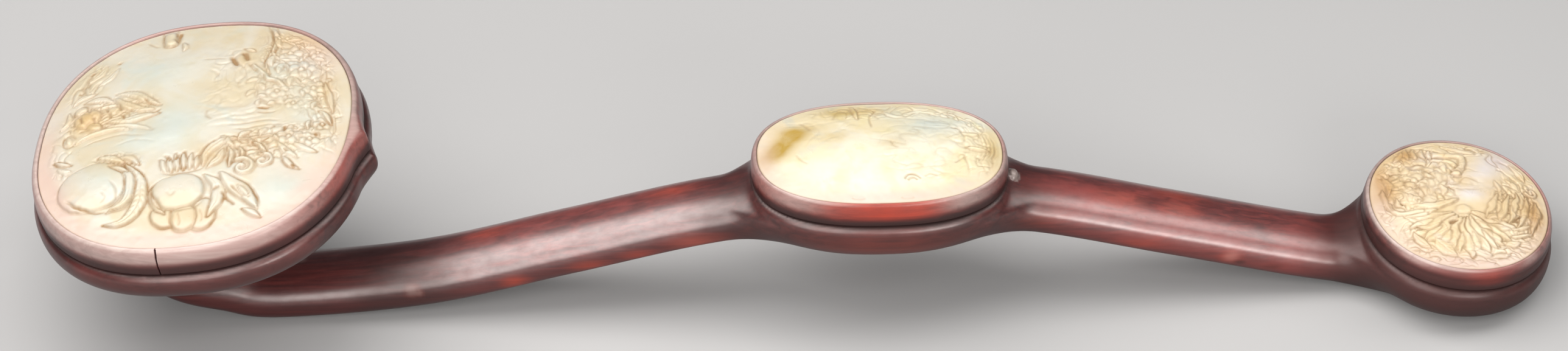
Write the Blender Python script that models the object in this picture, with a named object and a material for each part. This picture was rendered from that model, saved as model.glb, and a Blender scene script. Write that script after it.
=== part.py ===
"""Ruyi scepter: a carved hardwood shaft with three settings that hold domed jade plaques.

The shaft runs along X, head at -X and tail at +X, and lies face up on the plane z = 0, on its neck
and on the belly of its tail. Lengths are in metres and the origin is under the middle of the scepter.
"""

import math
from dataclasses import dataclass

import bpy
import numpy as np

MM = 0.001
GAP = 0.3 * MM                      # clearance between two pieces that touch

# Stem: the part of the shaft between the settings
STEM_HALF_WIDTH = 13.0 * MM
STEM_HALF_HEIGHT = 7.6 * MM
STEM_TOP_POWER = 2.5                # superellipse power of the section, 2 is an ellipse
STEM_BELLY_POWER = 2.9
STATIONS = 52                       # sections of the stem's loft
SECTION_POINTS = 24

# Centre line of the stem in (x, z), from inside the head's plate to the middle of the tail
SPINE = (
    (-229, 52), (-223, 34), (-207, 17), (-190, 10.6), (-172, 7.2), (-124, 11.0), (-76, 22.7),
    (-28, 34.4), (24, 40.7), (74, 35.4), (123, 23.0), (172, 10.4), (194, 8.2), (215, 8.0),
)

# The neck widens where it runs into the head's plate
NECK_FLARE_WIDTH = 15 * MM
NECK_FLARE_HEIGHT = 9 * MM
NECK_FLARE_LENGTH = 34 * MM
FILLET = 12 * MM                    # blend between the stem's sides and a setting's outline
FILLET_INSET = 4.5 * MM             # the widened stem stays this far inside the setting

SEAT_SKIM = 0.4 * MM                # stock cut away to leave each seat flat
CUTTER_HEIGHT = 40 * MM

RING_POINTS = 48                    # points round a setting
BULLNOSE_POINTS = 6
BULLNOSE = 0.55                     # power of the bezel's rounding, nearer 0 is squarer
SHOULDER_POINTS = 3
BELLY_POINTS = 4
CUSP_HALF_WIDTH = 10 * MM           # the pointed end of the head's outline
CUSP_POWER = 1.5                    # 1 is a straight-sided point, higher is more drawn in
BUD_SIZE = (4.0 * MM, 2.0 * MM, 2.6 * MM)
BUD_LEVEL = 43.6 * MM
TABLE_CUTTER = (0.6, 0.2, 0.05)

PLAQUE_RINGS = 11
PLAQUE_SEAT = 1.2 * MM              # thin edge of a plaque below the top of its bezel
DOME_POWER = 2.2                    # 2 is a parabola, higher is flatter in the middle
RELIEF_MARGIN = 0.25                # outer share of a plaque over which its carving fades out


@dataclass(frozen=True)
class Setting:
    """One widening of the shaft, with the bezel and the plaque that sit on it."""

    name: str
    rim_centre: tuple               # (x, z) of the middle of the bezel's top
    tilt: float                     # degrees, positive lifts the edge nearer the tail
    turn: float                     # degrees that the outline is turned about its own face
    half_length: float              # outside of the bezel
    half_width: float
    power: float                    # superellipse power of the outline
    bezel_height: float
    rim_width: float
    crown: float                    # rise of the plaque above its own edge
    lip: float                      # how far the shaft's seat stands out past the bezel
    depth: float                    # from the seat down to the lowest point of the belly
    shoulder: float                 # from the seat down to the widest level
    cusp: float                     # how far the outline comes to a point towards the tail
    cusp_turn: float                # degrees from the outline's own axis to that point


HEAD = Setting("head", (-197.2 * MM, 72.6 * MM), 8.3, -6, 53.9 * MM, 58.2 * MM, 2.28,
               10 * MM, 2.4 * MM, 4.2 * MM, 1.6 * MM, 16.4 * MM, 3.4 * MM, 3 * MM, -2.25)
MIDDLE = Setting("middle", (25.9 * MM, 56.0 * MM), -0.4, 0, 42.2 * MM, 27.4 * MM, 2.36,
                 9 * MM, 1.8 * MM, 4.0 * MM, 1.5 * MM, 18.2 * MM, 3.4 * MM, 0, 0)
TAIL = Setting("tail", (218.9 * MM, 26.3 * MM), -5.7, 0, 31.6 * MM, 34.4 * MM, 2.05,
               8.5 * MM, 1.7 * MM, 3.2 * MM, 1.4 * MM, 18.3 * MM, 3.6 * MM, 0, 0)

# Larger carving on the plaques: (u, v, half length, half width, turn in degrees, height), in mm
CARVING = {
    "head": (
        (-26, -24, 15, 11, 15, 2.4), (2, -26, 11, 9, 0, 2.6), (-10, -37, 8, 4, 40, 1.6),
        (13, -36, 8, 4, -35, 1.6), (22, -22, 12, 5, -50, 1.8), (24, -4, 13, 4, 20, 1.6),
        (36, 6, 9, 5, 60, 1.6), (34, 26, 13, 6, 110, 1.8), (20, 38, 10, 4, 150, 1.4),
        (-34, 12, 12, 5, 25, 1.8), (-16, 16, 9, 3, 10, 1.2), (-14, 45, 4, 3, 0, 1.8),
    ),
    "middle": (
        (-22, -2, 9, 11, 0, 0.8), (24, -4, 8, 5, 70, 1.2), (30, 5, 6, 4, 120, 1.2),
        (8, -12, 7, 3, 10, 1.0), (-4, 13, 9, 3, 0, 1.0),
    ),
    "tail": (
        (0, 2, 5, 4, 0, 2.0), (-14, 12, 8, 4, 30, 1.5), (4, -14, 11, 3, 95, 1.4),
        (-9, -13, 11, 3, 60, 1.4), (14, -10, 10, 3, 130, 1.4), (18, 6, 7, 4, 80, 1.5),
        (-19, -3, 7, 3, 110, 1.3),
    ),
}

WOOD = (0.150, 0.042, 0.036, 1)
JADE = (0.800, 0.745, 0.545, 1)


# ---------------------------------------------------------------- frames and curves

def axes(setting):
    """Unit vectors of a setting: along its length, and up out of its face."""
    turn = math.radians(setting.tilt)
    along = np.array((math.cos(turn), 0.0, math.sin(turn)))
    up = np.array((-math.sin(turn), 0.0, math.cos(turn)))
    return along, up


def seat_centre(setting):
    """Middle of the flat seat, where the bezel stands on the shaft."""
    _, up = axes(setting)
    x, z = setting.rim_centre
    return np.array((x, 0.0, z)) - up * setting.bezel_height


def place(setting, u, v, w):
    """World points for u along, v across and w above the seat of a setting."""
    along, up = axes(setting)
    u, v, w = np.broadcast_arrays(u, v, w)
    points = seat_centre(setting) + u[..., None] * along + w[..., None] * up
    points[..., 1] += v
    return points


def outline(setting, inset, share=1):
    """Superellipse round a setting, drawn in from the bezel's outside, with a share of its cusp."""
    angle = np.linspace(0, 2 * math.pi, RING_POINTS, endpoint=False) + math.radians(setting.cusp_turn)
    cosine, sine = np.cos(angle), np.sin(angle)
    bend = 2 / setting.power
    u = (setting.half_length - inset) * np.sign(cosine) * np.abs(cosine) ** bend
    v = (setting.half_width - inset) * np.sign(sine) * np.abs(sine) ** bend
    point = np.clip(1 - np.abs(v - v[0]) / CUSP_HALF_WIDTH, 0, None) ** CUSP_POWER
    u = u + share * setting.cusp * point * (cosine > 0)
    turn = math.radians(setting.turn)
    return u * math.cos(turn) - v * math.sin(turn), u * math.sin(turn) + v * math.cos(turn)


def spine_points(count):
    """Centre line as count points evenly spaced, a Catmull-Rom curve through SPINE."""
    knots = np.array(SPINE) * MM
    knots = np.vstack((2 * knots[0] - knots[1], knots, 2 * knots[-1] - knots[-2]))
    t = np.linspace(0, 1, 40, endpoint=False)[:, None]
    runs = []
    for a, b, c, d in zip(knots, knots[1:], knots[2:], knots[3:]):
        runs.append(0.5 * (2 * b + (c - a) * t + (2 * a - 5 * b + 4 * c - d) * t ** 2
                           + (3 * b - a - 3 * c + d) * t ** 3))
    fine = np.vstack(runs + [knots[-2:-1]])
    length = np.concatenate(((0,), np.cumsum(np.hypot(*np.diff(fine, axis=0).T))))
    even = np.linspace(0, length[-1], count)
    return even, np.column_stack([np.interp(even, length, fine[:, i]) for i in (0, 1)])


def smooth_max(a, b, blend):
    """The larger of two values, with the corner between them rounded by blend."""
    overlap = np.clip(blend - np.abs(a - b), 0, None) / blend
    return np.maximum(a, b) + overlap ** 2 * blend / 4


# ---------------------------------------------------------------- meshes

def collection(name):
    """A new collection in the scene."""
    group = bpy.data.collections.new(name)
    bpy.context.scene.collection.children.link(group)
    return group


def material(name, colour, roughness):
    """A Principled BSDF material."""
    made = bpy.data.materials.new(name)
    made.use_nodes = True
    shader = made.node_tree.nodes["Principled BSDF"]
    shader.inputs["Base Color"].default_value = colour
    shader.inputs["Roughness"].default_value = roughness
    shader.inputs["Metallic"].default_value = 0.0
    return made


def as_cutter(made, group):
    """Marks an object as a tool of a Boolean and moves it to its own collection."""
    for holder in made.users_collection:
        holder.objects.unlink(made)
    group.objects.link(made)
    made.hide_render = True
    made.display_type = 'WIRE'
    return made


def loft(name, rings, group, closed_path=False):
    """Skin over rings of points; the two ends are fans, or join when the path is closed."""
    rings = np.asarray(rings)
    count, around = rings.shape[:2]
    points = rings.reshape(-1, 3)
    faces = []
    for i in range(count if closed_path else count - 1):
        here, there = i * around, (i + 1) % count * around
        for j in range(around):
            k = (j + 1) % around
            faces.append((here + j, here + k, there + k, there + j))
    if not closed_path:
        first, last, end = len(points), len(points) + 1, (count - 1) * around
        points = np.vstack((points, rings[0].mean(axis=0), rings[-1].mean(axis=0)))
        for j in range(around):
            k = (j + 1) % around
            faces.append((first, k, j))
            faces.append((last, end + j, end + k))
    mesh = bpy.data.meshes.new(name)
    mesh.from_pydata(points.tolist(), [], faces)
    mesh.shade_smooth()
    made = bpy.data.objects.new(name, mesh)
    group.objects.link(made)
    return made


def combine(target, tool, operation):
    """Boolean of a tool on a target, kept as a modifier."""
    modifier = target.modifiers.new(tool.name, 'BOOLEAN')
    modifier.operation = operation
    modifier.solver = 'EXACT'
    modifier.object = tool


# ---------------------------------------------------------------- shaft

def seat_half_width(setting, x):
    """Half width of a setting's seat over the shaft's centre line at x, a little inside."""
    reach = setting.half_length + setting.lip - FILLET_INSET
    width = setting.half_width + setting.lip - FILLET_INSET
    inside = 1 - np.abs((x - seat_centre(setting)[0]) / reach) ** setting.power
    return width * np.clip(inside, 0, None) ** (1 / setting.power)


def stem(group):
    """Superellipse sections along the spine, wider in the settings and at the neck."""
    travelled, centre = spine_points(STATIONS)
    heading = np.gradient(centre, axis=0)
    heading /= np.linalg.norm(heading, axis=1)[:, None]
    normal = np.column_stack((-heading[:, 1], heading[:, 0]))

    flare = np.clip(1 - travelled / NECK_FLARE_LENGTH, 0, None) ** 2
    half_height = STEM_HALF_HEIGHT + NECK_FLARE_HEIGHT * flare
    half_width = STEM_HALF_WIDTH + NECK_FLARE_WIDTH * flare
    for setting in (MIDDLE, TAIL):
        seat = seat_half_width(setting, centre[:, 0])
        half_width = smooth_max(half_width, seat, FILLET)

    angle = np.linspace(0, 2 * math.pi, SECTION_POINTS, endpoint=False)
    cosine, sine = np.cos(angle), np.sin(angle)
    bend = 2 / np.where(sine > 0, STEM_TOP_POWER, STEM_BELLY_POWER)
    across = np.sign(cosine) * np.abs(cosine) ** bend
    level = half_height[:, None] * np.sign(sine) * np.abs(sine) ** bend
    rings = np.zeros((STATIONS, SECTION_POINTS, 3))
    rings[..., 0] = centre[:, :1] + normal[:, :1] * level
    rings[..., 1] = half_width[:, None] * across
    rings[..., 2] = centre[:, 1:] + normal[:, 1:] * level
    return loft("shaft", rings[:, ::-1], group)


def plate(setting, group):
    """Bowl under a bezel: a rounded lip round the seat and a full belly below it."""
    rings = []
    for turn in np.linspace(0, math.pi / 2, SHOULDER_POINTS, endpoint=False):
        inset = setting.shoulder * (1 - math.sin(turn)) - setting.lip
        drop = setting.shoulder * (1 - math.cos(turn))
        rings.append(place(setting, *outline(setting, inset), SEAT_SKIM - drop))
    u, v = outline(setting, -setting.lip)
    for turn in np.linspace(0, math.pi / 2, BELLY_POINTS, endpoint=False):
        shrink = math.cos(turn) ** (2 / STEM_BELLY_POWER)
        drop = (setting.depth - setting.shoulder) * math.sin(turn) ** (2 / STEM_BELLY_POWER)
        rings.append(place(setting, u * shrink, v * shrink, -setting.shoulder - drop))
    return loft(setting.name + " plate", rings[::-1], group)


def seat_cutter(setting, group):
    """Prism that trims the shaft flat under a bezel and clear round it."""
    u, v = outline(setting, -GAP)
    rings = [place(setting, u, v, w) for w in (0, CUTTER_HEIGHT)]
    return as_cutter(loft(setting.name + " seat cutter", rings, group), group)


def bud(group):
    """Small carved bead where the stem leaves the middle setting."""
    x = seat_centre(MIDDLE)[0] + MIDDLE.half_length + MIDDLE.lip
    bpy.ops.mesh.primitive_uv_sphere_add(segments=12, ring_count=8, radius=1)
    made = bpy.context.object
    made.name = "bud"
    made.scale = BUD_SIZE
    made.location = (x, 0, BUD_LEVEL)
    bpy.ops.object.transform_apply(location=True, rotation=True, scale=True)
    return as_cutter(made, group)


def table_cutter(group):
    """Block below the table's surface, which leaves the two feet flat."""
    bpy.ops.mesh.primitive_cube_add(size=1)
    made = bpy.context.object
    made.name = "table cutter"
    made.scale = TABLE_CUTTER
    made.location = (0, 0, -TABLE_CUTTER[2] / 2)
    bpy.ops.object.transform_apply(location=True, rotation=True, scale=True)
    return as_cutter(made, group)


def shaft(parts, tools, wood):
    """One carved piece: stem, three plates with their seats, bud and worn feet."""
    made = stem(parts)
    made.data.materials.append(wood)
    for setting in (HEAD, MIDDLE, TAIL):
        combine(made, as_cutter(plate(setting, tools), tools), 'UNION')
    combine(made, bud(tools), 'UNION')
    for setting in (HEAD, MIDDLE, TAIL):
        combine(made, seat_cutter(setting, tools), 'DIFFERENCE')
    combine(made, table_cutter(tools), 'DIFFERENCE')


# ---------------------------------------------------------------- bezels and plaques

def bezel(setting, parts, wood):
    """Ring with a bullnose outside, where it keeps the cusp, and a straight inner wall."""
    turn = np.linspace(0, math.pi / 2, BULLNOSE_POINTS)
    inset = setting.rim_width * (1 - np.cos(turn) ** BULLNOSE)
    level = GAP + (setting.bezel_height - GAP) * np.sin(turn) ** BULLNOSE
    inset = np.append(inset, (setting.rim_width,))
    level = np.append(level, (GAP,))
    cusped = 1 - inset / setting.rim_width
    rings = [place(setting, *outline(setting, i, c), w) for i, c, w in zip(inset, cusped, level)]
    made = loft(setting.name + "_bezel", rings, parts, closed_path=True)
    made.data.materials.append(wood)


def carved(setting, u, v):
    """Height of the larger carving: low bosses that swell where they overlap."""
    height = np.zeros_like(u)
    for motif in CARVING[setting.name]:
        cu, cv, length, width, rise = (value * MM for value in motif[:4] + motif[5:])
        turn = math.radians(motif[4])
        along = (u - cu) * math.cos(turn) + (v - cv) * math.sin(turn)
        across = (v - cv) * math.cos(turn) - (u - cu) * math.sin(turn)
        inside = np.clip(1 - (along / length) ** 2 - (across / width) ** 2, 0, None)
        height = np.maximum(height, rise * np.sqrt(inside))
    return height


def plaque(setting, parts, jade):
    """Domed plaque of jade with its larger carving, set inside the bezel."""
    u, v = outline(setting, setting.rim_width + GAP, 0)
    edge = setting.bezel_height - PLAQUE_SEAT
    rings = [place(setting, u, v, GAP)]
    for share in np.linspace(1, 0, PLAQUE_RINGS, endpoint=False):
        dome = setting.crown * (1 - share ** DOME_POWER)
        relief = carved(setting, u * share, v * share) * min(1, (1 - share) / RELIEF_MARGIN)
        rings.append(place(setting, u * share, v * share, edge + dome + relief))
    made = loft(setting.name + "_plaque", rings, parts)
    made.data.materials.append(jade)


def main():
    for old in list(bpy.data.objects):
        bpy.data.objects.remove(old, do_unlink=True)
    parts = collection("ruyi scepter")
    tools = collection("cutters")
    wood = material("dark red hardwood", WOOD, 0.35)
    jade = material("carved jade", JADE, 0.2)
    shaft(parts, tools, wood)
    for setting in (HEAD, MIDDLE, TAIL):
        bezel(setting, parts, wood)
        plaque(setting, parts, jade)


main()
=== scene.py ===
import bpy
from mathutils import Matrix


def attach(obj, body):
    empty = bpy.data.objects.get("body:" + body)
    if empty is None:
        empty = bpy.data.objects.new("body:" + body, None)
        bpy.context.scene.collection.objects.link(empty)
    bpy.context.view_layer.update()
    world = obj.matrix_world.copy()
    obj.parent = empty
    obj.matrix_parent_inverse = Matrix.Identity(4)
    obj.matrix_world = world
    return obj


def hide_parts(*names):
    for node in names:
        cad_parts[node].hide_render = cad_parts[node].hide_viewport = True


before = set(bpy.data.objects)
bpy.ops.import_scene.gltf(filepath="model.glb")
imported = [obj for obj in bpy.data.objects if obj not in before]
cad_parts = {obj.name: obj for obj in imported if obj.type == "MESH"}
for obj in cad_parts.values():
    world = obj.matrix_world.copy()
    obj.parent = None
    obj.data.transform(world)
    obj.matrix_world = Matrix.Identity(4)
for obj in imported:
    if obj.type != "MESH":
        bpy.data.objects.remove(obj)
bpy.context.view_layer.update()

"""Finish of a ruyi scepter: polished hardwood shaft and bezels, and three carved jade plaques.

The shaft runs along X, head at -X and tail at +X, and rests face up on z = 0. Lengths inside the
classes are in millimetres; a mesh is made in metres. A setting's own frame has u along the scepter,
v across it, away from the front, and w up out of its face, from the seat that its bezel stands on.
A point of the plane of X and Z is also written as the complex number x + iz.
"""

import cmath
import logging
import math
from dataclasses import dataclass, field
from enum import Enum
from typing import Callable, Optional, Sequence, Union

import bpy
import numpy as np
from mathutils import Vector

Array = np.ndarray
Point = tuple[float, float]
Colour = tuple[float, float, float]

LOG = logging.getLogger("ruyi")
MM = 0.001
GAP = 0.3                               # clearance between two pieces that touch
LATTICE = 64                            # size of the lattice of random values
BATCH = 20000                           # points whose nearest place is found at one time
TINY = 1e-3                             # small angle for slopes, and the least slope
SPECK = 1e-6                            # stands in for 0 under a power or a division


# ---------------------------------------------------------------- numbers on arrays

def smooth_step(low: float, high: float, value: Array) -> Array:
    """Cubic step 3 t^2 - 2 t^3, with t the share of the way from low to high, held to 0..1."""
    share = np.clip((value - low) / (high - low), 0, 1)
    return share * share * (3 - 2 * share)


def smooth_min(a: Array, b: Array, blend: Union[float, Array]) -> Array:
    """The smaller of two fields, with the corner between them rounded over the length of blend."""
    overlap = np.clip(blend - np.abs(a - b), 0, None) / blend
    return np.minimum(a, b) - overlap ** 2 * blend / 4


def degrees_from(place: float, angle: Array) -> Array:
    """Signed degrees from a place, itself in degrees, to directions in radians."""
    return np.degrees(np.angle(np.exp(1j * (angle - math.radians(place)))))


def in_oval(u: Array, v: Array, centre: Point, radii: Point, turn: float) -> tuple[Array, Array]:
    """Coordinates about an oval's centre, in its half sizes, the first turned by degrees from u."""
    along = (u - centre[0] + 1j * (v - centre[1])) * cmath.rect(1, -math.radians(turn))
    return along.real / radii[0], along.imag / radii[1]


def catmull_rom(points: Sequence[Point], per_span: int) -> Array:
    """Smooth curve through points: the Catmull-Rom cubic on each span.

    Args:
        points: the points.
        per_span: samples on each span.

    Returns:
        Rows of samples along the curve, with both ends.
    """
    knots = np.asarray(points, float)
    knots = np.vstack((2 * knots[0] - knots[1], knots, 2 * knots[-1] - knots[-2]))
    a, b, c, d = (knots[i:len(knots) - 3 + i, None, :] for i in range(4))
    t = np.linspace(0, 1, per_span, endpoint=False)[None, :, None]
    curve = 0.5 * (2 * b + (c - a) * t + (2 * a - 5 * b + 4 * c - d) * t ** 2
                   + (3 * b - a - 3 * c + d) * t ** 3)
    return np.vstack((curve.reshape(-1, 2), knots[-2]))


def value_noise(u: Array, v: Array, cell: float, seed: int) -> Array:
    """Soft blotches: random values on a square lattice, joined by cubic steps.

    Args:
        u: first coordinate.
        v: second coordinate.
        cell: size of a square.
        seed: seed of the values.

    Returns:
        Values in 0..1.
    """
    lattice = np.random.default_rng(seed).random((LATTICE, LATTICE))
    x, y = u / cell + 31.7, v / cell + 17.3
    i, j = np.floor(x).astype(int), np.floor(y).astype(int)
    s, t = smooth_step(0, 1, x - i), smooth_step(0, 1, y - j)
    near, far = (lattice[i % LATTICE, k % LATTICE] * (1 - s) + lattice[(i + 1) % LATTICE, k % LATTICE] * s
                 for k in (j, j + 1))
    return near * (1 - t) + far * t


# ---------------------------------------------------------------- pieces

def make_piece(name: str, node: str, finish: bpy.types.Material, points: Array, faces: Array,
               layers: dict[str, Array], normals: Optional[Array] = None) -> bpy.types.Object:
    """A finished piece at the origin, on the one body, in place of its CAD node.

    Args:
        name: its name.
        node: the CAD node that it replaces.
        finish: the material.
        points: rows of x, y and z in millimetres.
        faces: rows of three or four vertex numbers.
        layers: numbers for the vertices that the material reads, by name.
        normals: normals of the vertices, or None for the mesh's own.

    Returns:
        The object, shaded smooth.
    """
    mesh = bpy.data.meshes.new(name)
    mesh.vertices.add(len(points))
    mesh.vertices.foreach_set("co", (points * MM).astype(np.float32).ravel())
    mesh.loops.add(faces.size)
    mesh.loops.foreach_set("vertex_index", faces.astype(np.int32).ravel())
    mesh.polygons.add(len(faces))
    mesh.polygons.foreach_set("loop_start", np.arange(0, faces.size, faces.shape[1], dtype=np.int32))
    mesh.update(calc_edges=True)
    mesh.validate()
    mesh.shade_smooth()
    if normals is not None:
        mesh.normals_split_custom_set_from_vertices(normals.tolist())
    for layer, values in layers.items():
        numbers = mesh.attributes.new(layer, 'FLOAT', 'POINT').data
        numbers.foreach_set("value", values.astype(np.float32).ravel())
    mesh.materials.append(finish)
    piece = bpy.data.objects.new(name, mesh)
    bpy.context.scene.collection.objects.link(piece)
    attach(piece, "root")
    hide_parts(node)
    return piece


# ---------------------------------------------------------------- shader maths

def operator(operation: str, reflected: bool = False) -> Callable[["Value", object], "Value"]:
    """An operator of Value that adds one Math node, a reflected one with its inputs swapped."""
    return lambda one, other: one.math(operation, *((other, one) if reflected else (one, other)))


class Value:
    """A number socket of a material, whose operators add Math nodes."""

    def __init__(self, make: "Recipe", socket: bpy.types.NodeSocket) -> None:
        """Wraps one socket of a material in the making."""
        self.make = make
        self.socket = socket

    def math(self, operation: str, first: object, second: object) -> "Value":
        """Output of a new Math node on two Values or numbers."""
        return self.make.node("Math", {0: first, 1: second}, operation=operation)

    __add__, __radd__ = operator('ADD'), operator('ADD', True)
    __sub__, __rsub__ = operator('SUBTRACT'), operator('SUBTRACT', True)
    __mul__ = operator('MULTIPLY')

    def clamp(self) -> "Value":
        """The value held to 0..1."""
        return self.math('MINIMUM', self.math('MAXIMUM', self, 0.0), 1.0)


class Recipe:
    """A material being put together round its Principled BSDF."""

    def __init__(self, name: str) -> None:
        """Starts a material of that name."""
        self.material = bpy.data.materials.new(name)
        self.material.use_nodes = True

    def node(self, kind: str, sockets: Optional[dict] = None, output: Union[int, str] = 0,
             **settings: object) -> Value:
        """Adds a node of any kind.

        Args:
            kind: its type without the ShaderNode prefix.
            sockets: values or links of its inputs, by name or number.
            output: the output that is wanted.
            settings: its properties, which are set first.

        Returns:
            That output.
        """
        node = self.material.node_tree.nodes.new("ShaderNode" + kind)
        for key, value in settings.items():
            setattr(node, key, value)
        self.fill(node, sockets or {})
        return Value(self, node.outputs[output])

    def fill(self, node: bpy.types.Node, sockets: dict) -> None:
        """Links or sets a node's inputs.

        Args:
            node: the node.
            sockets: links or values, by name or number.
        """
        for key, value in sockets.items():
            if isinstance(value, Value):
                self.material.node_tree.links.new(value.socket, node.inputs[key])
            else:
                node.inputs[key].default_value = value

    def noise(self, scale: tuple[float, float, float], detail: float = 2.0, roughness: float = 0.5,
              distortion: float = 0.0) -> Value:
        """Noise about 0.5, on Object coordinates (here the frame's metres) scaled for each axis."""
        place = self.node("Mapping", {"Vector": self.node("TexCoord", output="Object"), "Scale": scale})
        return self.node("TexNoise", {"Vector": place, "Scale": 1.0, "Detail": detail,
                                      "Roughness": roughness, "Distortion": distortion})

    def painted(self, name: str) -> Value:
        """A layer of the mesh as one number."""
        return self.node("Attribute", output="Fac", attribute_name=name)

    def step(self, value: Value, low: float, high: float) -> Value:
        """Smooth step of a value, from 0 at low to 1 at high."""
        return self.node("MapRange", {"Value": value, "From Min": low, "From Max": high},
                         interpolation_type='SMOOTHSTEP')

    def mix(self, share: Value, first: object, second: object) -> Value:
        """Mix of two colours or colour outputs, the first where the share is 0."""
        first, second = (one if isinstance(one, Value) else (*one, 1.0) for one in (first, second))
        return self.node("Mix", {0: share, 6: first, 7: second}, 2, data_type='RGBA')

    def bump(self, height: Value, distance: float, strength: float) -> Value:
        """Normal bumped by a height of 0..1, where 1 stands for so many metres."""
        return self.node("Bump", {"Height": height, "Distance": distance, "Strength": strength})

    def finish(self, **values: object) -> bpy.types.Material:
        """Fills the shader's sockets.

        Args:
            values: values or links by name, where an underscore stands for a space.

        Returns:
            The material.
        """
        shader = self.material.node_tree.nodes["Principled BSDF"]
        self.fill(shader, {key.replace("_", " "): value for key, value in values.items()})
        return self.material


# ---------------------------------------------------------------- finishes

@dataclass(frozen=True)
class Hardwood:
    """Dark red hardwood, rubbed to a soft polish by handling wherever it faces up, with painted shade and
    highlights.
    """

    name: str = "polished_hardwood"
    dark: Colour = (0.058, 0.013, 0.013)
    body: Colour = (0.175, 0.034, 0.030)
    red: Colour = (0.235, 0.045, 0.040)
    # pale pink of the painted highlights
    highlight_colour: Colour = (0.43, 0.35, 0.32)
    # strong red: of red spots on the shaft, and of the painted red reflection on the bezel walls
    red_tone_and_reflection: Colour = (0.42, 0.048, 0.018)
    # near black of the painted shade, and of patina and dark spots
    shade_and_patina: Colour = (0.010, 0.005, 0.005)
    roughness: float = 0.30
    sheen: float = 2.0                  # refractive index of the rubbed skin
    polish: float = 1.0                 # how far that skin covers the wood

    def build(self) -> bpy.types.Material:
        """Long streaks of grain, broad drifts of colour, pores, painted shade on the undersides, and the
        painted shade, highlights and red of its layers.

        Returns:
            The material. Layers: one darkens with painted shade and patina, one lightens with painted
                highlights, one reddens with red spots and painted red reflection.
        """
        make = Recipe(self.name)
        grain = make.noise((22, 520, 520), 4.0, 0.6, 0.8)
        drift = make.noise((7, 34, 34), 2.0, 0.5, 0.4)
        pore = make.step(make.noise((150, 2300, 2300), 2.0, 0.6), 0.62, 0.74)
        smear = make.noise((60, 90, 90), 3.0, 0.6)
        hand = make.noise((210, 330, 330), 3.0, 0.6)
        up = make.node("SeparateXYZ", {"Vector": make.node("TexCoord", output="Normal")}, "Z")
        shade_and_patina, painted_highlight, red_tone_and_reflection = make.painted("shade_and_patina"), make.painted("painted_highlight"), make.painted("red_tone_and_reflection")
        colour = make.mix(make.step(grain * 0.7 + drift * 0.5, 0.42, 0.82), self.dark, self.body)
        for share, shade in ((make.step(drift * 0.7 + smear * 0.35, 0.50, 0.68) * 0.6, self.red),
                             (pore * 0.45, self.dark),
                             # painted shade: the wood darker the more its face turns down
                             (0.8 - make.step(up, -0.6, 0.35) * 0.8, self.dark),
                             # red spots, and painted red reflection
                             ((red_tone_and_reflection * (grain * 1.1 + smear * 1.1 - 0.2)).clamp(), self.red_tone_and_reflection),
                             # painted highlights on rims, wall tops, lips, the bead and knots
                             ((painted_highlight * (0.55 + grain * 0.9)).clamp(), self.highlight_colour),
                             # painted shade at joints, under the bowls and on the bezel walls, with patina
                             # and dark spots
                             (shade_and_patina, self.shade_and_patina)):
            colour = make.mix(share, colour, shade)
        rough = self.roughness + smear * 0.14 + pore * 0.1 + make.step(shade_and_patina, 0.70, 0.90) * 0.3
        polish = make.step(up, -0.15, 0.5) * (0.45 + hand * 0.9) * (1.0 - shade_and_patina)
        relief = grain * 0.4 + (1.0 - pore) * 0.4 + hand * 0.8
        return make.finish(Base_Color=colour, Roughness=rough, Normal=make.bump(relief, 0.00014, 0.35),
                           Coat_Weight=(polish * self.polish).clamp(), Coat_Roughness=0.33,
                           Coat_IOR=self.sheen, IOR=1.5, Specular_Tint=(1.0, 0.82, 0.78, 1.0))


@dataclass(frozen=True)
class Jade:
    """Pale jade, cream with celadon and honey patches, old ochre dirt in its carving, and a painted pink
    reflection near its rim.
    """

    name: str = "carved_jade"
    cream: Colour = (0.455, 0.405, 0.295)
    ivory: Colour = (0.475, 0.455, 0.385)
    straw: Colour = (0.455, 0.385, 0.235)
    celadon: Colour = (0.40, 0.45, 0.42)
    honey: Colour = (0.44, 0.28, 0.085)
    # pink of the painted reflection of the wood near the rim
    pink_reflection: Colour = (0.49, 0.375, 0.32)
    dirt: Colour = (0.25, 0.155, 0.07)
    roughness: float = 0.24

    def build(self) -> bpy.types.Material:
        """Clouds of colour by place and by paint, dirt in hollows, and a soft depth.

        Returns:
            The material. Layers: "hollow", "celadon", "honey" and that of the painted pink reflection.
        """
        make = Recipe(self.name)
        cloud, drift, veil, speck = (make.noise((scale,) * 3, *rest) for scale, *rest in (
            (42.0, 3.0, 0.55, 0.6), (65.0, 2.0, 0.5, 1.2), (110.0, 4.0, 0.6, 0.4), (620.0, 2.0, 0.6)))
        dirt = (make.painted("hollow") * (0.75 + speck * 0.5)).clamp()
        colour = make.mix(make.step(cloud, 0.40, 0.62), self.cream, self.ivory)
        for share, shade in ((make.step(drift, 0.52, 0.72) * 0.45, self.celadon),
                             (make.step(veil, 0.50, 0.74) * 0.40, self.straw),
                             ((make.painted("celadon") * (0.55 + veil * 0.8)).clamp(), self.celadon),
                             ((make.painted("honey") * (0.45 + veil * 0.9)).clamp(), self.honey),
                             # painted pink reflection near the rim
                             ((make.painted("pink_reflection") * (0.6 + veil * 0.6)).clamp(), self.pink_reflection),
                             (dirt, self.dirt)):
            colour = make.mix(share, colour, shade)
        rough = self.roughness + veil * 0.10 + dirt * 0.35
        return make.finish(Base_Color=colour, Roughness=rough, IOR=1.5, Subsurface_Weight=0.18,
                           Normal=make.bump(speck * 0.4 + veil * 0.6, 0.00015, 0.25),
                           Subsurface_Radius=(1.0, 0.8, 0.5), Subsurface_Scale=0.003)


@dataclass(frozen=True)
class Paper:
    """Plain pale ground of the studio."""

    colour: Colour = (0.36, 0.366, 0.370)
    roughness: float = 0.8

    def build(self) -> bpy.types.Material:
        """The material, plain and matt."""
        return Recipe("pale_ground").finish(Base_Color=(*self.colour, 1.0), Roughness=self.roughness)


# ---------------------------------------------------------------- settings

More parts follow.
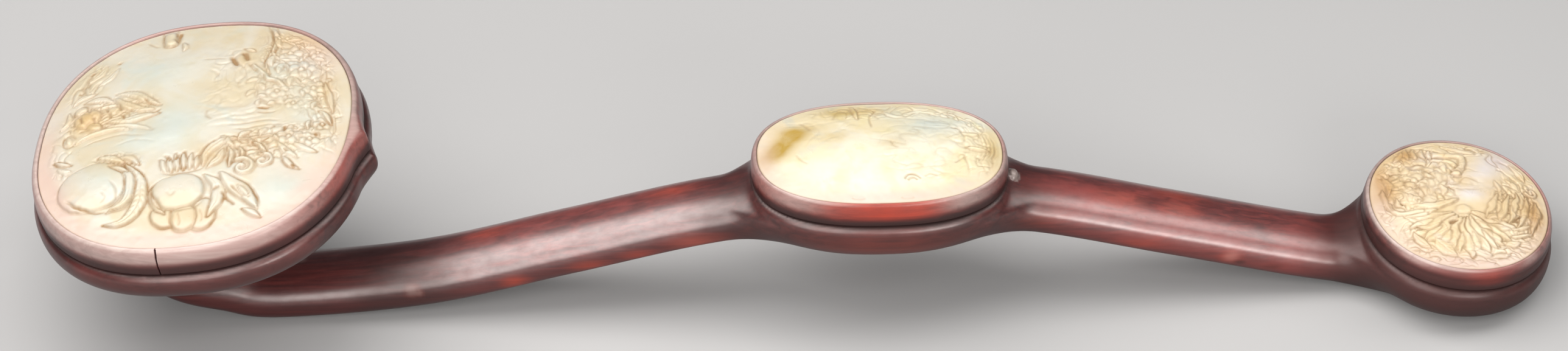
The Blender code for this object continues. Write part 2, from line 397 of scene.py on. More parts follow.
@dataclass(frozen=True)
class Setting:
    """One widening of the shaft: the outline, tilt and levels that its three tiers share."""

    name: str
    rim_centre: Point                   # (x, z) of the middle of the bezel's top
    tilt: float                         # degrees, positive lifts the edge nearer the tail
    turn: float                         # degrees that the outline is turned about its own face
    half_length: float                  # outside of the bezel
    half_width: float
    power: float                        # superellipse power of the outline
    bezel_height: float
    rim_width: float
    crown: float                        # rise of the plaque above its own edge
    lip: float                          # how far the shaft's lip stands out past the bezel
    depth: float                        # from the seat down to the lowest point of the belly
    shoulder: float                     # radius of the lip
    cusp: float                         # how far the outline comes to a point towards the tail
    cusp_place: float                   # degrees from the tail's direction to that point
    blend: float                        # fillet between the stem and the belly
    stem_side: int                      # 1 where the stem leaves towards the tail, -1 towards the head
    cusp_spread: float = 12.0           # degrees

    def radius(self, angle: Array, inset: float, share: Union[Array, float] = 1.0) -> Array:
        """Outline in polar form about the setting's middle.

        Args:
            angle: direction from the middle, in radians, 0 towards the tail.
            inset: how far it is drawn in from the bezel's outside.
            share: share of the cusp that is left.

        Returns:
            The superellipse's (|cos/a|^p + |sin/b|^p)^(-1/p), plus a cusp that falls off as a
            power of 1.6 on both sides of its place.
        """
        turned = angle - math.radians(self.turn)
        across = np.abs(np.cos(turned) / (self.half_length - inset)) ** self.power
        along = np.abs(np.sin(turned) / (self.half_width - inset)) ** self.power
        point = np.clip(1 - np.abs(degrees_from(self.cusp_place, angle)) / self.cusp_spread, 0, None) ** 1.6
        return (across + along) ** (-1 / self.power) + share * self.cusp * point

    def bend(self, angle: Array, *shape: float) -> Array:
        """Change of the outline's radius with its angle."""
        return (self.radius(angle + TINY, *shape) - self.radius(angle, *shape)) / TINY

    @property
    def lean(self) -> complex:
        """Direction of u in the plane of X and Z."""
        return cmath.rect(1, math.radians(self.tilt))

    @property
    def seat(self) -> complex:
        """Middle of the flat seat in the plane of X and Z."""
        return complex(*self.rim_centre) - 1j * self.bezel_height * self.lean

    def place(self, u: Array, v: Array, w: Array) -> Array:
        """Rows of x, y and z, from the setting's own u, v and w."""
        spot = self.seat + (u + 1j * w) * self.lean
        return np.stack(np.broadcast_arrays(spot.real, v, spot.imag), -1)

    def own(self, points: Array) -> tuple[Array, Array, Array]:
        """The setting's own u, v and w, from rows of x, y and z."""
        spot = (points[:, 0] + 1j * points[:, 2] - self.seat) * self.lean.conjugate()
        return spot.real, points[:, 1], spot.imag


HEAD = Setting("head", (-197.2, 72.6), 8.3, -6, 53.9, 58.2, 2.28, 10, 2.4, 4.2, 1.6, 16.4, 3.4, 3.2, -9.5,
               14, 1)
MIDDLE = Setting("middle", (25.9, 56.0), -0.4, 0, 42.2, 27.4, 2.36, 9, 1.8, 4.0, 1.5, 18.2, 3.4, 0, 0, 11, 0)
TAIL = Setting("tail", (218.9, 26.3), -5.7, 0, 31.6, 34.4, 2.05, 8.5, 1.7, 3.2, 1.4, 18.3, 3.6, 0, 0, 13, -1)
SETTINGS = (HEAD, MIDDLE, TAIL)


# ---------------------------------------------------------------- shaft

@dataclass
class Shaft:
    """The carved wooden body: a stem along a bent line, melted into three lipped bowls."""

    finish: bpy.types.Material
    half_width: float = 13.0
    half_height: float = 7.6
    top_power: float = 2.2
    belly_power: float = 2.9
    spine: tuple = ((-229, 52), (-223, 34), (-207, 17), (-190, 10.6), (-172, 7.2), (-124, 11), (-76, 22.7),
                    (-28, 34.4), (24, 40.7), (74, 35.4), (123, 23), (172, 10.4), (194, 8.2), (215, 8))
    neck_width: float = 15.0            # extra half width where the neck enters the head
    neck_height: float = 9.0
    neck_length: float = 34.0
    bead: tuple = (69.9, 0.0, 44.5)
    bead_size: tuple = (1.9, 2.6, 2.2)
    bead_blend: float = 0.6             # fillet round the bead
    lip_blend: float = 2.0              # fillet between the stem and a bowl's lip
    # knots and spots: (place, stretch along X, radius, painted highlight, red, dark)
    marks: tuple = (
        ((-129, -12.4, 12.8), 1, 2.4, 0.42, 0.8, 0), ((-126.8, -12.8, 12.2), 1, 1.6, 0.35, 0.8, 0),
        ((-127.6, -12.9, 10.6), 1.3, 1.1, 0, 0, 0.7), ((-165.5, 2.7, 16), 1, 2, 0.5, 0, 0),
        ((-94.5, -12.8, 15.5), 1.6, 2.8, 0, 0.9, 0), ((-104, 4, 23.2), 2.6, 3.6, 0, 0.5, 0),
        ((-69, -12.8, 21.6), 2.6, 2.6, 0, 0.6, 0), ((-53, -12.8, 25.6), 2.6, 2.4, 0, 0.6, 0),
        ((-33, -12.8, 30.4), 2.8, 3.6, 0.05, 0.8, 0), ((-42, 4, 38.6), 2.6, 3.6, 0, 0.6, 0),
        ((106, -3, 35.2), 2.6, 4.2, 0.05, 0.5, 0), ((126, 5, 29.6), 2.8, 4, 0, 0.5, 0),
        ((125, -3, 29.8), 1.8, 4, 0.05, 0.6, 0), ((142, -12.2, 17.6), 1.4, 2.4, 0.2, 0.8, 0),
        ((145, -12.9, 15), 2, 1.2, 0, 0, 0.6), ((156, -12.8, 12.6), 3.2, 1.4, 0, 0.2, 0.5),
        ((78, -12.8, 36), 3, 2.6, 0, 0.4, 0), ((112, -12.8, 24.6), 4, 2.4, 0, 0.4, 0),
        ((26, -26, 38), 3.5, 6, 0, 0.6, 0))
    bowl_shade_and_patina: tuple = (0.66, 0.58, 0.90)  # painted shade and patina that darken the bowls, from head to tail
    lips: tuple = (0.10, 0.05, 0.02)    # painted highlight along their lips
    bead_highlight: float = 0.85                  # painted highlight on the bead
    lip_inset: float = 0.12             # room left for the melt to swell the lips
    bowl_power: float = 2.9
    step: float = 1.0                   # size of the grid that the surface is found on
    slides: int = 3                     # Newton's steps that bring its points on to the surface
    corner: tuple = (-255.863, -63.863, -2.863)     # the grid's first point, off every flat of the shape
    far_corner: tuple = (256, 64, 76)
    line: Array = field(init=False)
    run: Array = field(init=False)
    heading: Array = field(init=False)

    def __post_init__(self) -> None:
        """Samples the spine in the plane of X and Z, with its length so far and its direction."""
        self.line = catmull_rom(self.spine, 40) @ (1, 1j)
        self.run = np.append(0, np.cumsum(np.abs(np.diff(self.line))))
        heading = np.gradient(self.line, self.run)
        self.heading = heading / np.abs(heading)

    def nearest(self, spots: Array) -> Array:
        """Number of the spine's nearest sample for each spot of the plane of X and Z.

        Args:
            spots: the spots.

        Returns:
            One number for each.
        """
        near = []
        for start in range(0, len(spots), BATCH):
            off = spots[start:start + BATCH, None] - self.line
            near.append(np.argmin(off.real ** 2 + off.imag ** 2, axis=1))
        return np.concatenate(near)

    def stem_field(self, spots: Array, y: Array, near: Array) -> Array:
        """Distance to the stem: a superellipse section that widens into the head.

        Args:
            spots: places in the plane of X and Z.
            y: distance across.
            near: number of the spine's nearest sample for each.

        Returns:
            (F - 1) / |grad F|, with F the section's superellipse norm, or the distance past
            either end of the spine if that is more; below 0 is inside.
        """
        off = (spots - self.line[near]) * self.heading[near].conjugate()
        ahead, height = off.real, off.imag
        past = np.where(near == len(self.line) - 1, ahead, -self.half_height)
        past = np.where(near == 0, -ahead, past)
        flare = np.clip(1 - (self.run[near] + ahead) / self.neck_length, 0, None) ** 2
        wide = self.half_width + self.neck_width * flare
        high = self.half_height + self.neck_height * flare
        power = np.where(height > 0, self.top_power, self.belly_power)
        stem = self.past_norm(np.abs(y) / wide, np.abs(height) / high, 1 / wide, 1 / high, power)
        return np.maximum(stem, past)

    @staticmethod
    def past_norm(a: Array, b: Array, slope_a: Array, slope_b: Array, power: Union[float, Array]) -> Array:
        """(F - 1) / |grad F|, with F = (a^p + b^p)^(1/p) and the slopes of a and b in space.

        Args:
            a: first share, 0 or more.
            b: second share, 0 or more.
            slope_a: how fast a grows with distance.
            slope_b: how fast b grows with distance.
            power: the superellipse's power p.

        Returns:
            About the distance to F = 1.
        """
        norm = np.maximum((a ** power + b ** power) ** (1 / power), SPECK)
        slope = norm ** (1 - power) * np.hypot(a ** (power - 1) * slope_a, b ** (power - 1) * slope_b)
        return (norm - 1) / np.maximum(slope, TINY)

    def bowl_field(self, setting: Setting, u: Array, v: Array, w: Array) -> Array:
        """Distance to a setting's lower tier: a flat seat, a rounded lip and a full belly.

        Args:
            setting: the setting.
            u: along the scepter, in the setting's own frame.
            v: across it.
            w: up out of its face.

        Returns:
            Above the widest level, the distance to a rounded edge; below it, that to a
            superellipse of the outline's share and the depth, by the same rule as the stem.
        """
        angle = np.arctan2(v, u)
        inset = self.lip_inset - setting.lip
        edge = setting.radius(angle, inset)
        share = np.maximum(np.hypot(u, v), SPECK) / edge
        share_slope = np.sqrt(1 + (setting.bend(angle, inset) / edge) ** 2) / edge
        rise, deepest = w + setting.shoulder, setting.depth - setting.shoulder
        corner = np.stack(((share - 1) / share_slope + setting.shoulder, rise))
        rounded = np.hypot(*np.maximum(corner, 0)) + np.minimum(corner.max(axis=0), 0) - setting.shoulder
        deep = np.clip(-rise, 0, None) / deepest
        belly = self.past_norm(share, deep, share_slope, 1 / deepest, self.bowl_power)
        return np.where(rise > 0, rounded, belly)

    def distance(self, points: Array, near: Array) -> Array:
        """Distance to the whole shaft.

        Args:
            points: rows of x, y and z.
            near: number of the spine's nearest sample for each point.

        Returns:
            The stem and the bowls melted together, with the bead, and cut flat under z = 0. A
            bowl's fillet is wide below its lip and narrow at the lip, whose line runs on over the stem.
        """
        whole = self.stem_field(points[:, 0] + 1j * points[:, 2], points[:, 1], near)
        for setting in SETTINGS:
            reach = setting.half_length + setting.lip + setting.blend + 10
            close = np.abs(points[:, 0] - setting.seat.real) < reach
            u, v, level = setting.own(points[close])
            open_side = smooth_step(-0.85, -0.35, setting.stem_side * u / setting.half_length)
            if not setting.stem_side:
                open_side = 1.0
            blend = (setting.blend - self.lip_blend) * smooth_step(-0.5, -6.0, level) * open_side
            joined = smooth_min(whole[close], self.bowl_field(setting, u, v, level), self.lip_blend + blend)
            over = np.hypot(u, v) < setting.radius(np.arctan2(v, u), 1.0)
            whole[close] = np.where(over, np.maximum(joined, level), joined)
        bead = (self.bead_share(points) - 1) * min(self.bead_size)
        return np.maximum(smooth_min(whole, bead, self.bead_blend), -points[:, 2])

    def bead_share(self, points: Array) -> Array:
        """Distance from the middle of the small bead beside the middle setting, in its half sizes."""
        return np.linalg.norm((points - np.array(self.bead)) / self.bead_size, axis=-1)

    def skin(self) -> tuple[Array, Array, Array]:
        """Surface of the distance field, by surface nets and a few steps of Newton's method.

        Returns:
            Points, which have slid down the field's slope on to the surface, quads and normals.
        """
        x, y, z = (np.arange(low, high, self.step) for low, high in zip(self.corner, self.far_corner))
        plane = (x[:, None] + 1j * z).ravel()
        near = self.nearest(plane)
        sheets = (np.column_stack((plane.real, np.full(plane.shape, across), plane.imag)) for across in y)
        values = np.stack([self.distance(sheet, near).reshape(len(x), len(z)) for sheet in sheets], 1)
        points, quads = surface_net(values, np.array(self.corner), self.step)
        for _ in range(self.slides):
            value, slope = self.gradient(points)
            points = points - slope * (value / np.maximum((slope ** 2).sum(axis=1), 0.05))[:, None]
        points[:, 2] = np.maximum(points[:, 2], 0)
        _, slope = self.gradient(points)
        return points, quads, slope / np.linalg.norm(slope, axis=1)[:, None]

    def gradient(self, points: Array, reach: float = 0.15) -> tuple[Array, Array]:
        """The field and its slope, by differences.

        Args:
            points: rows of x, y and z.
            reach: half the distance between the two samples along each axis.

        Returns:
            The field's values, and its slope as rows of three.
        """
        near = self.nearest(points[:, 0] + 1j * points[:, 2])
        slope = [(self.distance(points + step, near) - self.distance(points - step, near)) / (2 * reach)
                 for step in np.eye(3) * reach]
        return self.distance(points, near), np.stack(slope, -1)

    def build(self) -> bpy.types.Object:
        """Makes the shaft and paints shade at its joints and bowls, highlights on its lips, bead and knots,
        and its red and dark spots.

        Returns:
            The piece.
        """
        points, quads, normals = self.skin()
        painted_highlight, red_tone_and_reflection, shade_and_patina = np.zeros((3, len(points)))
        for setting, dark, pale in zip(SETTINGS, self.bowl_shade_and_patina, self.lips):
            u, v, w = setting.own(points)
            off = np.hypot(u, v) - setting.radius(np.arctan2(v, u), 0.0)
            # painted shade in the groove where each bezel meets its lip
            joint_shade = smooth_step(1.7, -0.3, off) * smooth_step(-2.6, -0.4, w)
            # painted shade and patina: darker below each seat and near its bowl, less under the bowl's
            # middle
            under = 0.45 + 0.55 * smooth_step(-20.0, -6.0, off)
            bowl_shade_and_patina = dark * under * smooth_step(28.0, 5.0, off) * smooth_step(0.5, -0.5, w)
            shade_and_patina = np.maximum(shade_and_patina, np.maximum(joint_shade, bowl_shade_and_patina))
            # painted highlight along the top of each lip
            rounded = smooth_step(0.8, 2.0, off) * smooth_step(setting.lip + 1.0, setting.lip - 0.5, off)
            painted_highlight = np.maximum(painted_highlight, pale * rounded * smooth_step(-3.0, -0.8, w))
        # painted highlight on the bead
        painted_highlight = np.maximum(painted_highlight, self.bead_highlight * smooth_step(1.35, 1.1, self.bead_share(points)))
        for place, stretch, radius, highlit, red, darkened in self.marks:
            off = np.linalg.norm((points - np.array(place)) / (stretch, 1, 1), axis=1)
            # each mark paints a highlight, a red spot and a dark spot
            spot = smooth_step(1.25 * radius, 0.2 * radius, off)
            painted_highlight, shade_and_patina = np.maximum(painted_highlight, highlit * spot), np.maximum(shade_and_patina, darkened * spot)
            red_tone_and_reflection = np.maximum(red_tone_and_reflection, 0.7 * red * smooth_step(1.8 * radius, -0.2 * radius, off))
        return make_piece("carved_shaft", "shaft", self.finish, points, quads,
                          {"shade_and_patina": 0.9 * shade_and_patina, "painted_highlight": painted_highlight, "red_tone_and_reflection": red_tone_and_reflection}, normals)


def surface_net(values: Array, low: Array, step: float) -> tuple[Array, Array]:
    """Quads round the zero level of a field on a regular grid.

    Each cell that the level crosses gets a vertex at the mean of the crossings on its edges, and
    each crossed edge gets a quad between the four cells round it.

    Args:
        values: the field, below 0 inside.
        low: the grid's first corner.
        step: the grid's spacing.

    Returns:
        Vertices and quads, facing out.
    """
    cells = tuple(size - 1 for size in values.shape)
    total, count = np.zeros((*cells, 3)), np.zeros(cells)
    crossed = []
    for axis in range(3):
        lead, tail = (tuple(part if i == axis else slice(None) for i in range(3))
                      for part in (slice(0, -1), slice(1, None)))
        first, second = values[lead], values[tail]
        edge = np.argwhere((first < 0) != (second < 0))
        before, after = first[tuple(edge.T)], second[tuple(edge.T)]
        at = edge.astype(float)
        at[:, axis] += before / (before - after)
        one, two = np.eye(3, dtype=int)[[(axis + 1) % 3, (axis + 2) % 3]]
        around = [edge - back for back in (0 * one, one, one + two, two)]
        crossed.append((around, before < 0))
        for cell in around:
            fits = np.all((cell >= 0) & (cell < cells), axis=1)
            np.add.at(total, tuple(cell[fits].T), at[fits])
            np.add.at(count, tuple(cell[fits].T), 1)
    used = count > 0
    number = np.full(cells, -1)
    number[used] = np.arange(used.sum())
    quads = []
    for around, inside_first in crossed:
        ring = np.stack([number[tuple(cell.T)] for cell in around], -1)
        quads.append(np.where(inside_first[:, None], ring, ring[:, ::-1]))
    return low + step * total[used] / count[used][:, None], np.vstack(quads)


# ---------------------------------------------------------------- bezels

@dataclass
class Bezel:
    """Raised wooden ring round a plaque: an upright wall, a softened edge and a narrow rim."""

    setting: Setting
    finish: bpy.types.Material
    stations: int = 360
    foot: float = 0.7                   # radius under the wall
    edge: float = 4.2                   # radius at the wall's top
    lap: float = 0.4                    # inner corner of the rim
    swell: float = 0.2                  # how far the wall bulges
    shade: Point = (0.55, 0.84)         # shares of the height where the wall's painted shade is full and ends
    highlit: tuple = ()                  # (degrees, spread, strength) of places where the rim's painted highlight is raised or lowered
    wall_highlit: tuple = ()                   # the same where the wall's upper part gets a painted highlight
    red_reflection: tuple = ()                # the same where the wall gets a painted red reflection
    crack: Optional[tuple] = None       # (degrees, slant, half width, depth) of a split in the wall
    crack_reach: float = 0.05           # radians on each side of it with closer sections
    crack_stations: int = 91
    rows: tuple = (7, 12, 14, 5)        # points of the foot, the wall, the edge and the inside
    # painted shade on the wall's lower part
    wall_shade: float = 0.80
    seam_shade: float = 0.85             # painted shade in the groove at the foot and inside the split
    # painted highlight on the rim
    rim_highlight: float = 0.45
    wall_highlight: float = 0.12             # painted highlight on the wall's upper part

    def profile(self) -> tuple[Array, Array]:
        """Closed section of the ring, anticlockwise from the inner foot.

        Returns:
            The inset from the bezel's outside and the level above the seat.
        """
        height, rim = self.setting.bezel_height, self.setting.rim_width
        low, high = GAP + self.foot, height - self.edge
        foot, wall, edge, inside = self.rows
        turn, sweep = np.linspace(0, math.pi / 2, foot), np.linspace(0, math.pi / 2, edge)
        rise = np.linspace(low, high, wall)[1:-1]
        bow = self.swell * np.sin(math.pi * (rise - low) / (high - low))
        inset = (self.foot * (1 - np.sin(turn)), -bow, (rim - self.lap) * (1 - np.cos(sweep)),
                 [rim - 0.6 * self.lap], np.full(inside, rim))
        level = (GAP + self.foot * (1 - np.cos(turn)), rise, high + self.edge * np.sin(sweep),
                 [height - 0.02], np.linspace(height - 0.35, GAP, inside))
        return np.concatenate(inset), np.concatenate(level)

    def stations_round(self) -> Array:
        """Directions of the sections, closer together at the split.

        Returns:
            Angles in radians, rising.
        """
        even = np.linspace(0, 2 * math.pi, self.stations, endpoint=False)
        if not self.crack:
            return even
        place = math.radians(self.crack[0]) % (2 * math.pi)
        fine = place + self.crack_reach * np.linspace(-1, 1, self.crack_stations)
        return np.sort(np.concatenate((even[np.abs(even - place) > self.crack_reach], fine)))

    def split(self, angle: Array, level: Array) -> Array:
        """Share of the split's depth at each point of the wall.

        Args:
            angle: direction of each point.
            level: level of each point.

        Returns:
            1 in the middle of the split and 0 outside it; the split leans by its slant over the
            wall's height, wanders a little and closes towards the foot.
        """
        place, slant, half, _ = self.crack
        arc = (angle - math.radians(place) % (2 * math.pi)) * self.setting.radius(angle, 0.0)
        up = level / self.setting.bezel_height
        middle = slant * (0.5 - up) + 0.07 * np.sin(9 * up) + 0.04 * np.sin(23 * up + 1)
        return np.clip(1 - np.abs(arc - middle) / (half * (0.55 + 0.45 * up)), 0, 1) ** 0.6

    @staticmethod
    def spots(places: Sequence[tuple[float, float, float]], angle: Array) -> Array:
        """Sum of soft spots round the ring, each its strength times exp(-(off / spread)^2)."""
        return sum((strength * np.exp(-(degrees_from(middle, angle) / spread) ** 2)
                    for middle, spread, strength in places), np.zeros_like(angle))

    def build(self) -> bpy.types.Object:
        """Carries the section round the outline, the cusp fading out towards the plaque, and paints its
        shade, highlights and red reflection.

        Returns:
            The piece.
        """
        setting, height = self.setting, self.setting.bezel_height
        angle = self.stations_round()
        inset, level = (side[:, None] for side in self.profile())
        full, end = self.shade
        # painted red reflection on the wall's middle and upper part
        red = self.spots(self.red_reflection, angle)
        red_tone_and_reflection = np.minimum(red * smooth_step(0.15 * height, 0.55 * height, level), 1)
        plain = 1 - 0.85 * red_tone_and_reflection
        # painted shade on the wall's lower part and in the groove at its foot
        shade_and_patina = np.maximum(self.wall_shade * smooth_step(end * height, full * height, level) * plain,
                          self.seam_shade * smooth_step(GAP + 1.1, GAP + 0.2, level))
        if self.crack:
            cut = self.split(angle, level)
            inset = inset + self.crack[3] * cut * (inset < setting.rim_width * 0.6)
            # painted shade inside the split
            shade_and_patina = np.maximum(shade_and_patina, self.seam_shade * smooth_step(0.1, 0.8, cut))
        slope = setting.bend(angle, 0.0, 0.0) / setting.radius(angle, 0.0, 0.0)
        cusped = np.clip(1 - inset / setting.rim_width, 0, 1)
        radius = setting.radius(angle, 0.0, cusped) - inset * np.sqrt(1 + slope ** 2)
        points = setting.place(radius * np.cos(angle), radius * np.sin(angle), level)
        # painted highlights on the rim and on the wall's upper part
        rim = self.rim_highlight + self.spots(self.highlit, angle)
        wall = self.wall_highlight + self.spots(self.wall_highlit, angle)
        painted_highlight = np.maximum(rim * smooth_step(height - 1.5, height - 0.2, level),
                          wall * smooth_step(0.9 * full * height, 1.05 * end * height, level))
        number = np.arange(shade_and_patina.size).reshape(shade_and_patina.shape)
        above = np.roll(number, -1, axis=0)
        quads = np.stack((above, np.roll(above, -1, axis=1), np.roll(number, -1, axis=1), number), -1)
        return make_piece(setting.name + "_bezel_ring", setting.name + "_bezel", self.finish,
                          points.reshape(-1, 3), quads.reshape(-1, 4),
                          {"shade_and_patina": shade_and_patina, "red_tone_and_reflection": red_tone_and_reflection, "painted_highlight": np.clip(painted_highlight, 0, 0.9) * (1 - shade_and_patina) * plain})


# ---------------------------------------------------------------- carving

class Taper(Enum):
    """How a carved form's width runs from its start to its end."""

    LEAF = "pointed at both ends"
    RIBBON = "even, with round ends"
    TAIL = "full start, pointed end"

    def width(self, share: Array) -> Array:
        """Share of the full width.

        Args:
            share: place along the form, 0..1.

        Returns:
            The width there, 0..1.
        """
        if self is Taper.LEAF:
            return np.sin(math.pi * np.clip(share, 0, 1)) ** 0.8
        if self is Taper.TAIL:
            return np.clip(1 - share, 0, 1) ** 0.7
        return np.ones_like(share)


class Relief:
    """Carving over one plaque, built up form by form: its height in millimetres, and its dirty lines.

    An oval is given by its centre, its two half sizes and the degrees that the first is turned from u.
    A line's strength, 0..1, is that of the dirty cut round a form.
    """

    SOFT = 0.35                         # half width of the blend at a form's edge
    LINE_OUT = 0.15                     # how far outside that edge its cut line lies
    LINE_WIDTH = 0.48
    LINE_DEPTH = 0.42
    GROOVE_DEPTH = 0.6
    GRAIN = 1.9                         # stretch of a tracery along its patch's longer side
    WARP = 1.6                          # how far its strokes wind, in cells
    FINER = 0.62                        # size of its second strokes
    STROKE_WIDTH = 0.32
    STROKE_DEPTH = 0.22
    VEIN_WIDTH = 0.3
    VEIN_SLANT = 0.9                    # how far a side vein runs on for each step out
    PETALS = 5
    PETAL_PLACE = 0.58                  # a petal's distance from the flower's middle, in its radius
    PETAL_SIZE = (0.50, 0.42)
    BEAD_SIZE = 0.24
    LEAF_ANGLE = math.radians(48)       # between a spray's stem and its leaves
    SHRINK = 0.4                        # how much smaller the leaves are at its tip
    WOUND = 0.82                        # share of a scroll's radius that it winds in by

    def __init__(self, u: Array, v: Array, wander: float) -> None:
        """Starts flat and clean over vertices at (u, v), where lines stray by about the wander."""
        self.u, self.v = (side + wander * (value_noise(u, v, 3.4, seed) - 0.5)
                          + 0.5 * wander * (value_noise(u, v, 1.6, seed + 1) - 0.5)
                          for side, seed in ((u, 7), (v, 9)))
        self.height, self.ink = np.zeros_like(u), np.zeros_like(u)

    def follow(self, points: Sequence[Point], reach: float) -> tuple[Array, Array, Array, float]:
        """Coordinates along and across a smooth curve, for the vertices near it.

        Args:
            points: points that the curve passes through.
            reach: how far from the curve the vertices may be.

        Returns:
            Numbers of the near vertices, their share of the way along, their signed distance
            across, and the curve's length.
        """
        line = catmull_rom(points, 6)
        low, high = line.min(axis=0) - reach, line.max(axis=0) + reach
        u, v = self.u, self.v
        near = np.flatnonzero((u > low[0]) & (u < high[0]) & (v > low[1]) & (v < high[1]))
        spots = u[near] + 1j * v[near]
        line = line @ (1, 1j)
        spans = np.diff(line)
        begun = np.append(0, np.cumsum(np.abs(spans)))
        best, (share, across) = np.full(len(near), np.inf), np.zeros((2, len(near)))
        for start, span, before in zip(line, spans, begun):
            local = (spots - start) / span
            ahead = np.clip(local.real, 0, 1)
            off = np.abs(local - ahead) * abs(span)
            closer = off < best
            best = np.where(closer, off, best)
            across = np.where(closer, off * np.sign(local.imag), across)
            share = np.where(closer, (before + ahead * abs(span)) / begun[-1], share)
        return near, share, across, begun[-1]

    def around(self, centre: Point, radii: Point, turn: float, reach: float) -> tuple[Array, Array, Array]:
        """Numbers of the vertices within reach of an oval, and their coordinates in its half sizes."""
        near = np.flatnonzero(np.maximum(np.abs(self.u - centre[0]), np.abs(self.v - centre[1]))
                              < max(radii) + reach)
        return near, *in_oval(self.u[near], self.v[near], centre, radii, turn)

    def lay(self, near: Array, outside: Array, top: Array, line: float) -> None:
        """Lays a form over what is there, with a dirty cut line round it.

        Args:
            near: numbers of the vertices.
            outside: distance outside the form's edge, below 0 inside.
            top: the form's own surface.
            line: strength of the cut line.
        """
        bare = 1 - smooth_step(self.SOFT, -self.SOFT, outside)
        cut = line * np.exp(-((outside - self.LINE_OUT) / self.LINE_WIDTH) ** 2)
        self.height[near] = self.height[near] * bare + top * (1 - bare) - self.LINE_DEPTH * cut
        self.ink[near] = np.maximum(self.ink[near] * bare, cut)

    @staticmethod
    def cushion(share: Array, lift: float) -> Array:
        """Height of a mound whose edge is at a share of 1: lift (0.2 + 0.8 sqrt(1 - share^2))."""
        return lift * (0.2 + 0.8 * np.sqrt(np.clip(1 - share ** 2, 0, 1)))

    def form(self, points: Sequence[Point], width: float, lift: float, line: float, vein: float = 0.0,
             pitch: float = 0.0, taper: Taper = Taper.LEAF) -> None:
        """A leaf, petal, ribbon or scroll: a cushioned band along a curve.

        Args:
            points: points of its middle line.
            width: its greatest half width.
            lift: height of its middle.
            line: strength of the cut line round it.
            vein: depth of the groove along its middle.
            pitch: spacing of the side veins, or 0 for none.
            taper: how its width runs.
        """
        near, share, across, length = self.follow(points, width + 1.5)
        half = np.maximum(width * taper.width(share), 0.05)
        off = np.abs(across)
        top = self.cushion(np.clip(off / half, 0, 1), lift)
        top = top - vein * np.exp(-(off / self.VEIN_WIDTH) ** 2) * smooth_step(0.0, 0.12, share)
        if pitch:
            turns = (share * length - self.VEIN_SLANT * off) / pitch
            veins = (0.5 + 0.5 * np.cos(2 * math.pi * turns)) ** 4
            top = top - 0.5 * vein * veins * smooth_step(0.2, 0.7, off)
        self.lay(near, off - half, top, line)

    def boss(self, centre: Point, radii: Point, turn: float, lift: float, line: float,
             power: float = 2.0) -> None:
        """A rounded mound.

        Args:
            centre: its middle.
            radii: its two half sizes.
            turn: degrees that the first is turned.
            lift: its height.
            line: strength of the cut line round it.
            power: superellipse power of its outline.
        """
        near, a, b = self.around(centre, radii, turn, 1.5)
        share = (np.abs(a) ** power + np.abs(b) ** power) ** (1 / power)
        self.lay(near, (share - 1) * min(radii), self.cushion(share, lift), line)

    def swell(self, centre: Point, radii: Point, turn: float, lift: float) -> None:
        """A soft oval rise without an edge, lift times exp(-r^2)."""
        near, a, b = self.around(centre, radii, turn, 2 * max(radii))
        self.height[near] += lift * np.exp(-(a * a + b * b))

    def groove(self, points: Sequence[Point], width: float, depth: float, fade: float = 0.2) -> None:
        """A cut line along a curve, deepest in the middle of its width.

        Args:
            points: points of the curve.
            width: its half width.
            depth: its depth, which is also how dark its dirt is.
            fade: share of its length over which each end runs out.
        """
        near, share, across, _ = self.follow(points, width * 3)
        ends = smooth_step(0, fade, share) * smooth_step(1, 1 - fade, share)
        cut = depth * ends * np.exp(-(across / width) ** 2)
        self.height[near] -= self.GROOVE_DEPTH * cut
        self.ink[near] = np.maximum(self.ink[near], cut)

    def nicks(self, places: Sequence[Point], along: Point, width: float, depth: float) -> None:
        """Short cuts at places, each running from its own place less a step to that place plus the step."""
        for x, y in places:
            self.groove(((x - along[0], y - along[1]), (x + along[0], y + along[1])), width, depth, 0.3)

    def ring(self, centre: Point, radii: Point, depth: float, start: float = 0.0,
             sweep: float = 360.0) -> None:
        """A cut arc of an upright ellipse, given by the degrees of its start and its sweep."""
        angle = np.radians(start + sweep * np.linspace(0, 1, max(4, int(sweep / 30))))
        self.groove(np.column_stack((np.cos(angle), np.sin(angle))) * radii + centre, 0.4, depth, 0.1)

    def tracery(self, centre: Point, radii: Point, turn: float, cell: float, lift: float, line: float,
                seed: int) -> None:
        """Fine winding strokes, along a patch's longer side, between or over the main forms.

        A stroke is cut wherever a soft warped noise passes through its middle value, its distance
        being |n - 1/2| / |grad n|; the ground is cushioned between strokes, and a second, finer
        noise adds lighter strokes. All of it fades out as the patch ends.

        Args:
            centre: the patch's middle.
            radii: its two half sizes.
            turn: degrees that the first is turned.
            cell: size of the first noise's blotches, which are stretched along the longer side.
            lift: height of the cushions.
            line: strength of the strokes.
            seed: seed of the noises.
        """
        near, a, b = self.around(centre, radii, turn, 0.3 * max(radii))
        mask = smooth_step(1.15, 0.75, np.hypot(a, b))
        along, over, small = a * radii[0], b * radii[1], 0.1
        long_a, long_b = (self.GRAIN, 1.0) if radii[0] > radii[1] else (1.0, self.GRAIN)
        for start, share in ((seed, 1.0), (seed + 5, self.FINER)):
            size = cell * share
            warp_a, warp_b = (
                side / long + self.WARP * size * (value_noise(along, over, self.WARP * size, number) - 0.5)
                for side, long, number in ((along, long_a, start + 1), (over, long_b, start + 2)))
            level = value_noise(warp_a, warp_b, size, start)
            slope = np.hypot(value_noise(warp_a + small / long_a, warp_b, size, start) - level,
                             value_noise(warp_a, warp_b + small / long_b, size, start) - level) / small
            gap = np.abs(level - 0.5) / np.maximum(slope, 0.03)
            cut = share ** 2 * mask * line * np.exp(-(gap / self.STROKE_WIDTH) ** 2)
            rise = smooth_step(0.0, 0.45 * size, gap) - 0.5
            self.height[near] += share * mask * lift * rise - self.STROKE_DEPTH * cut
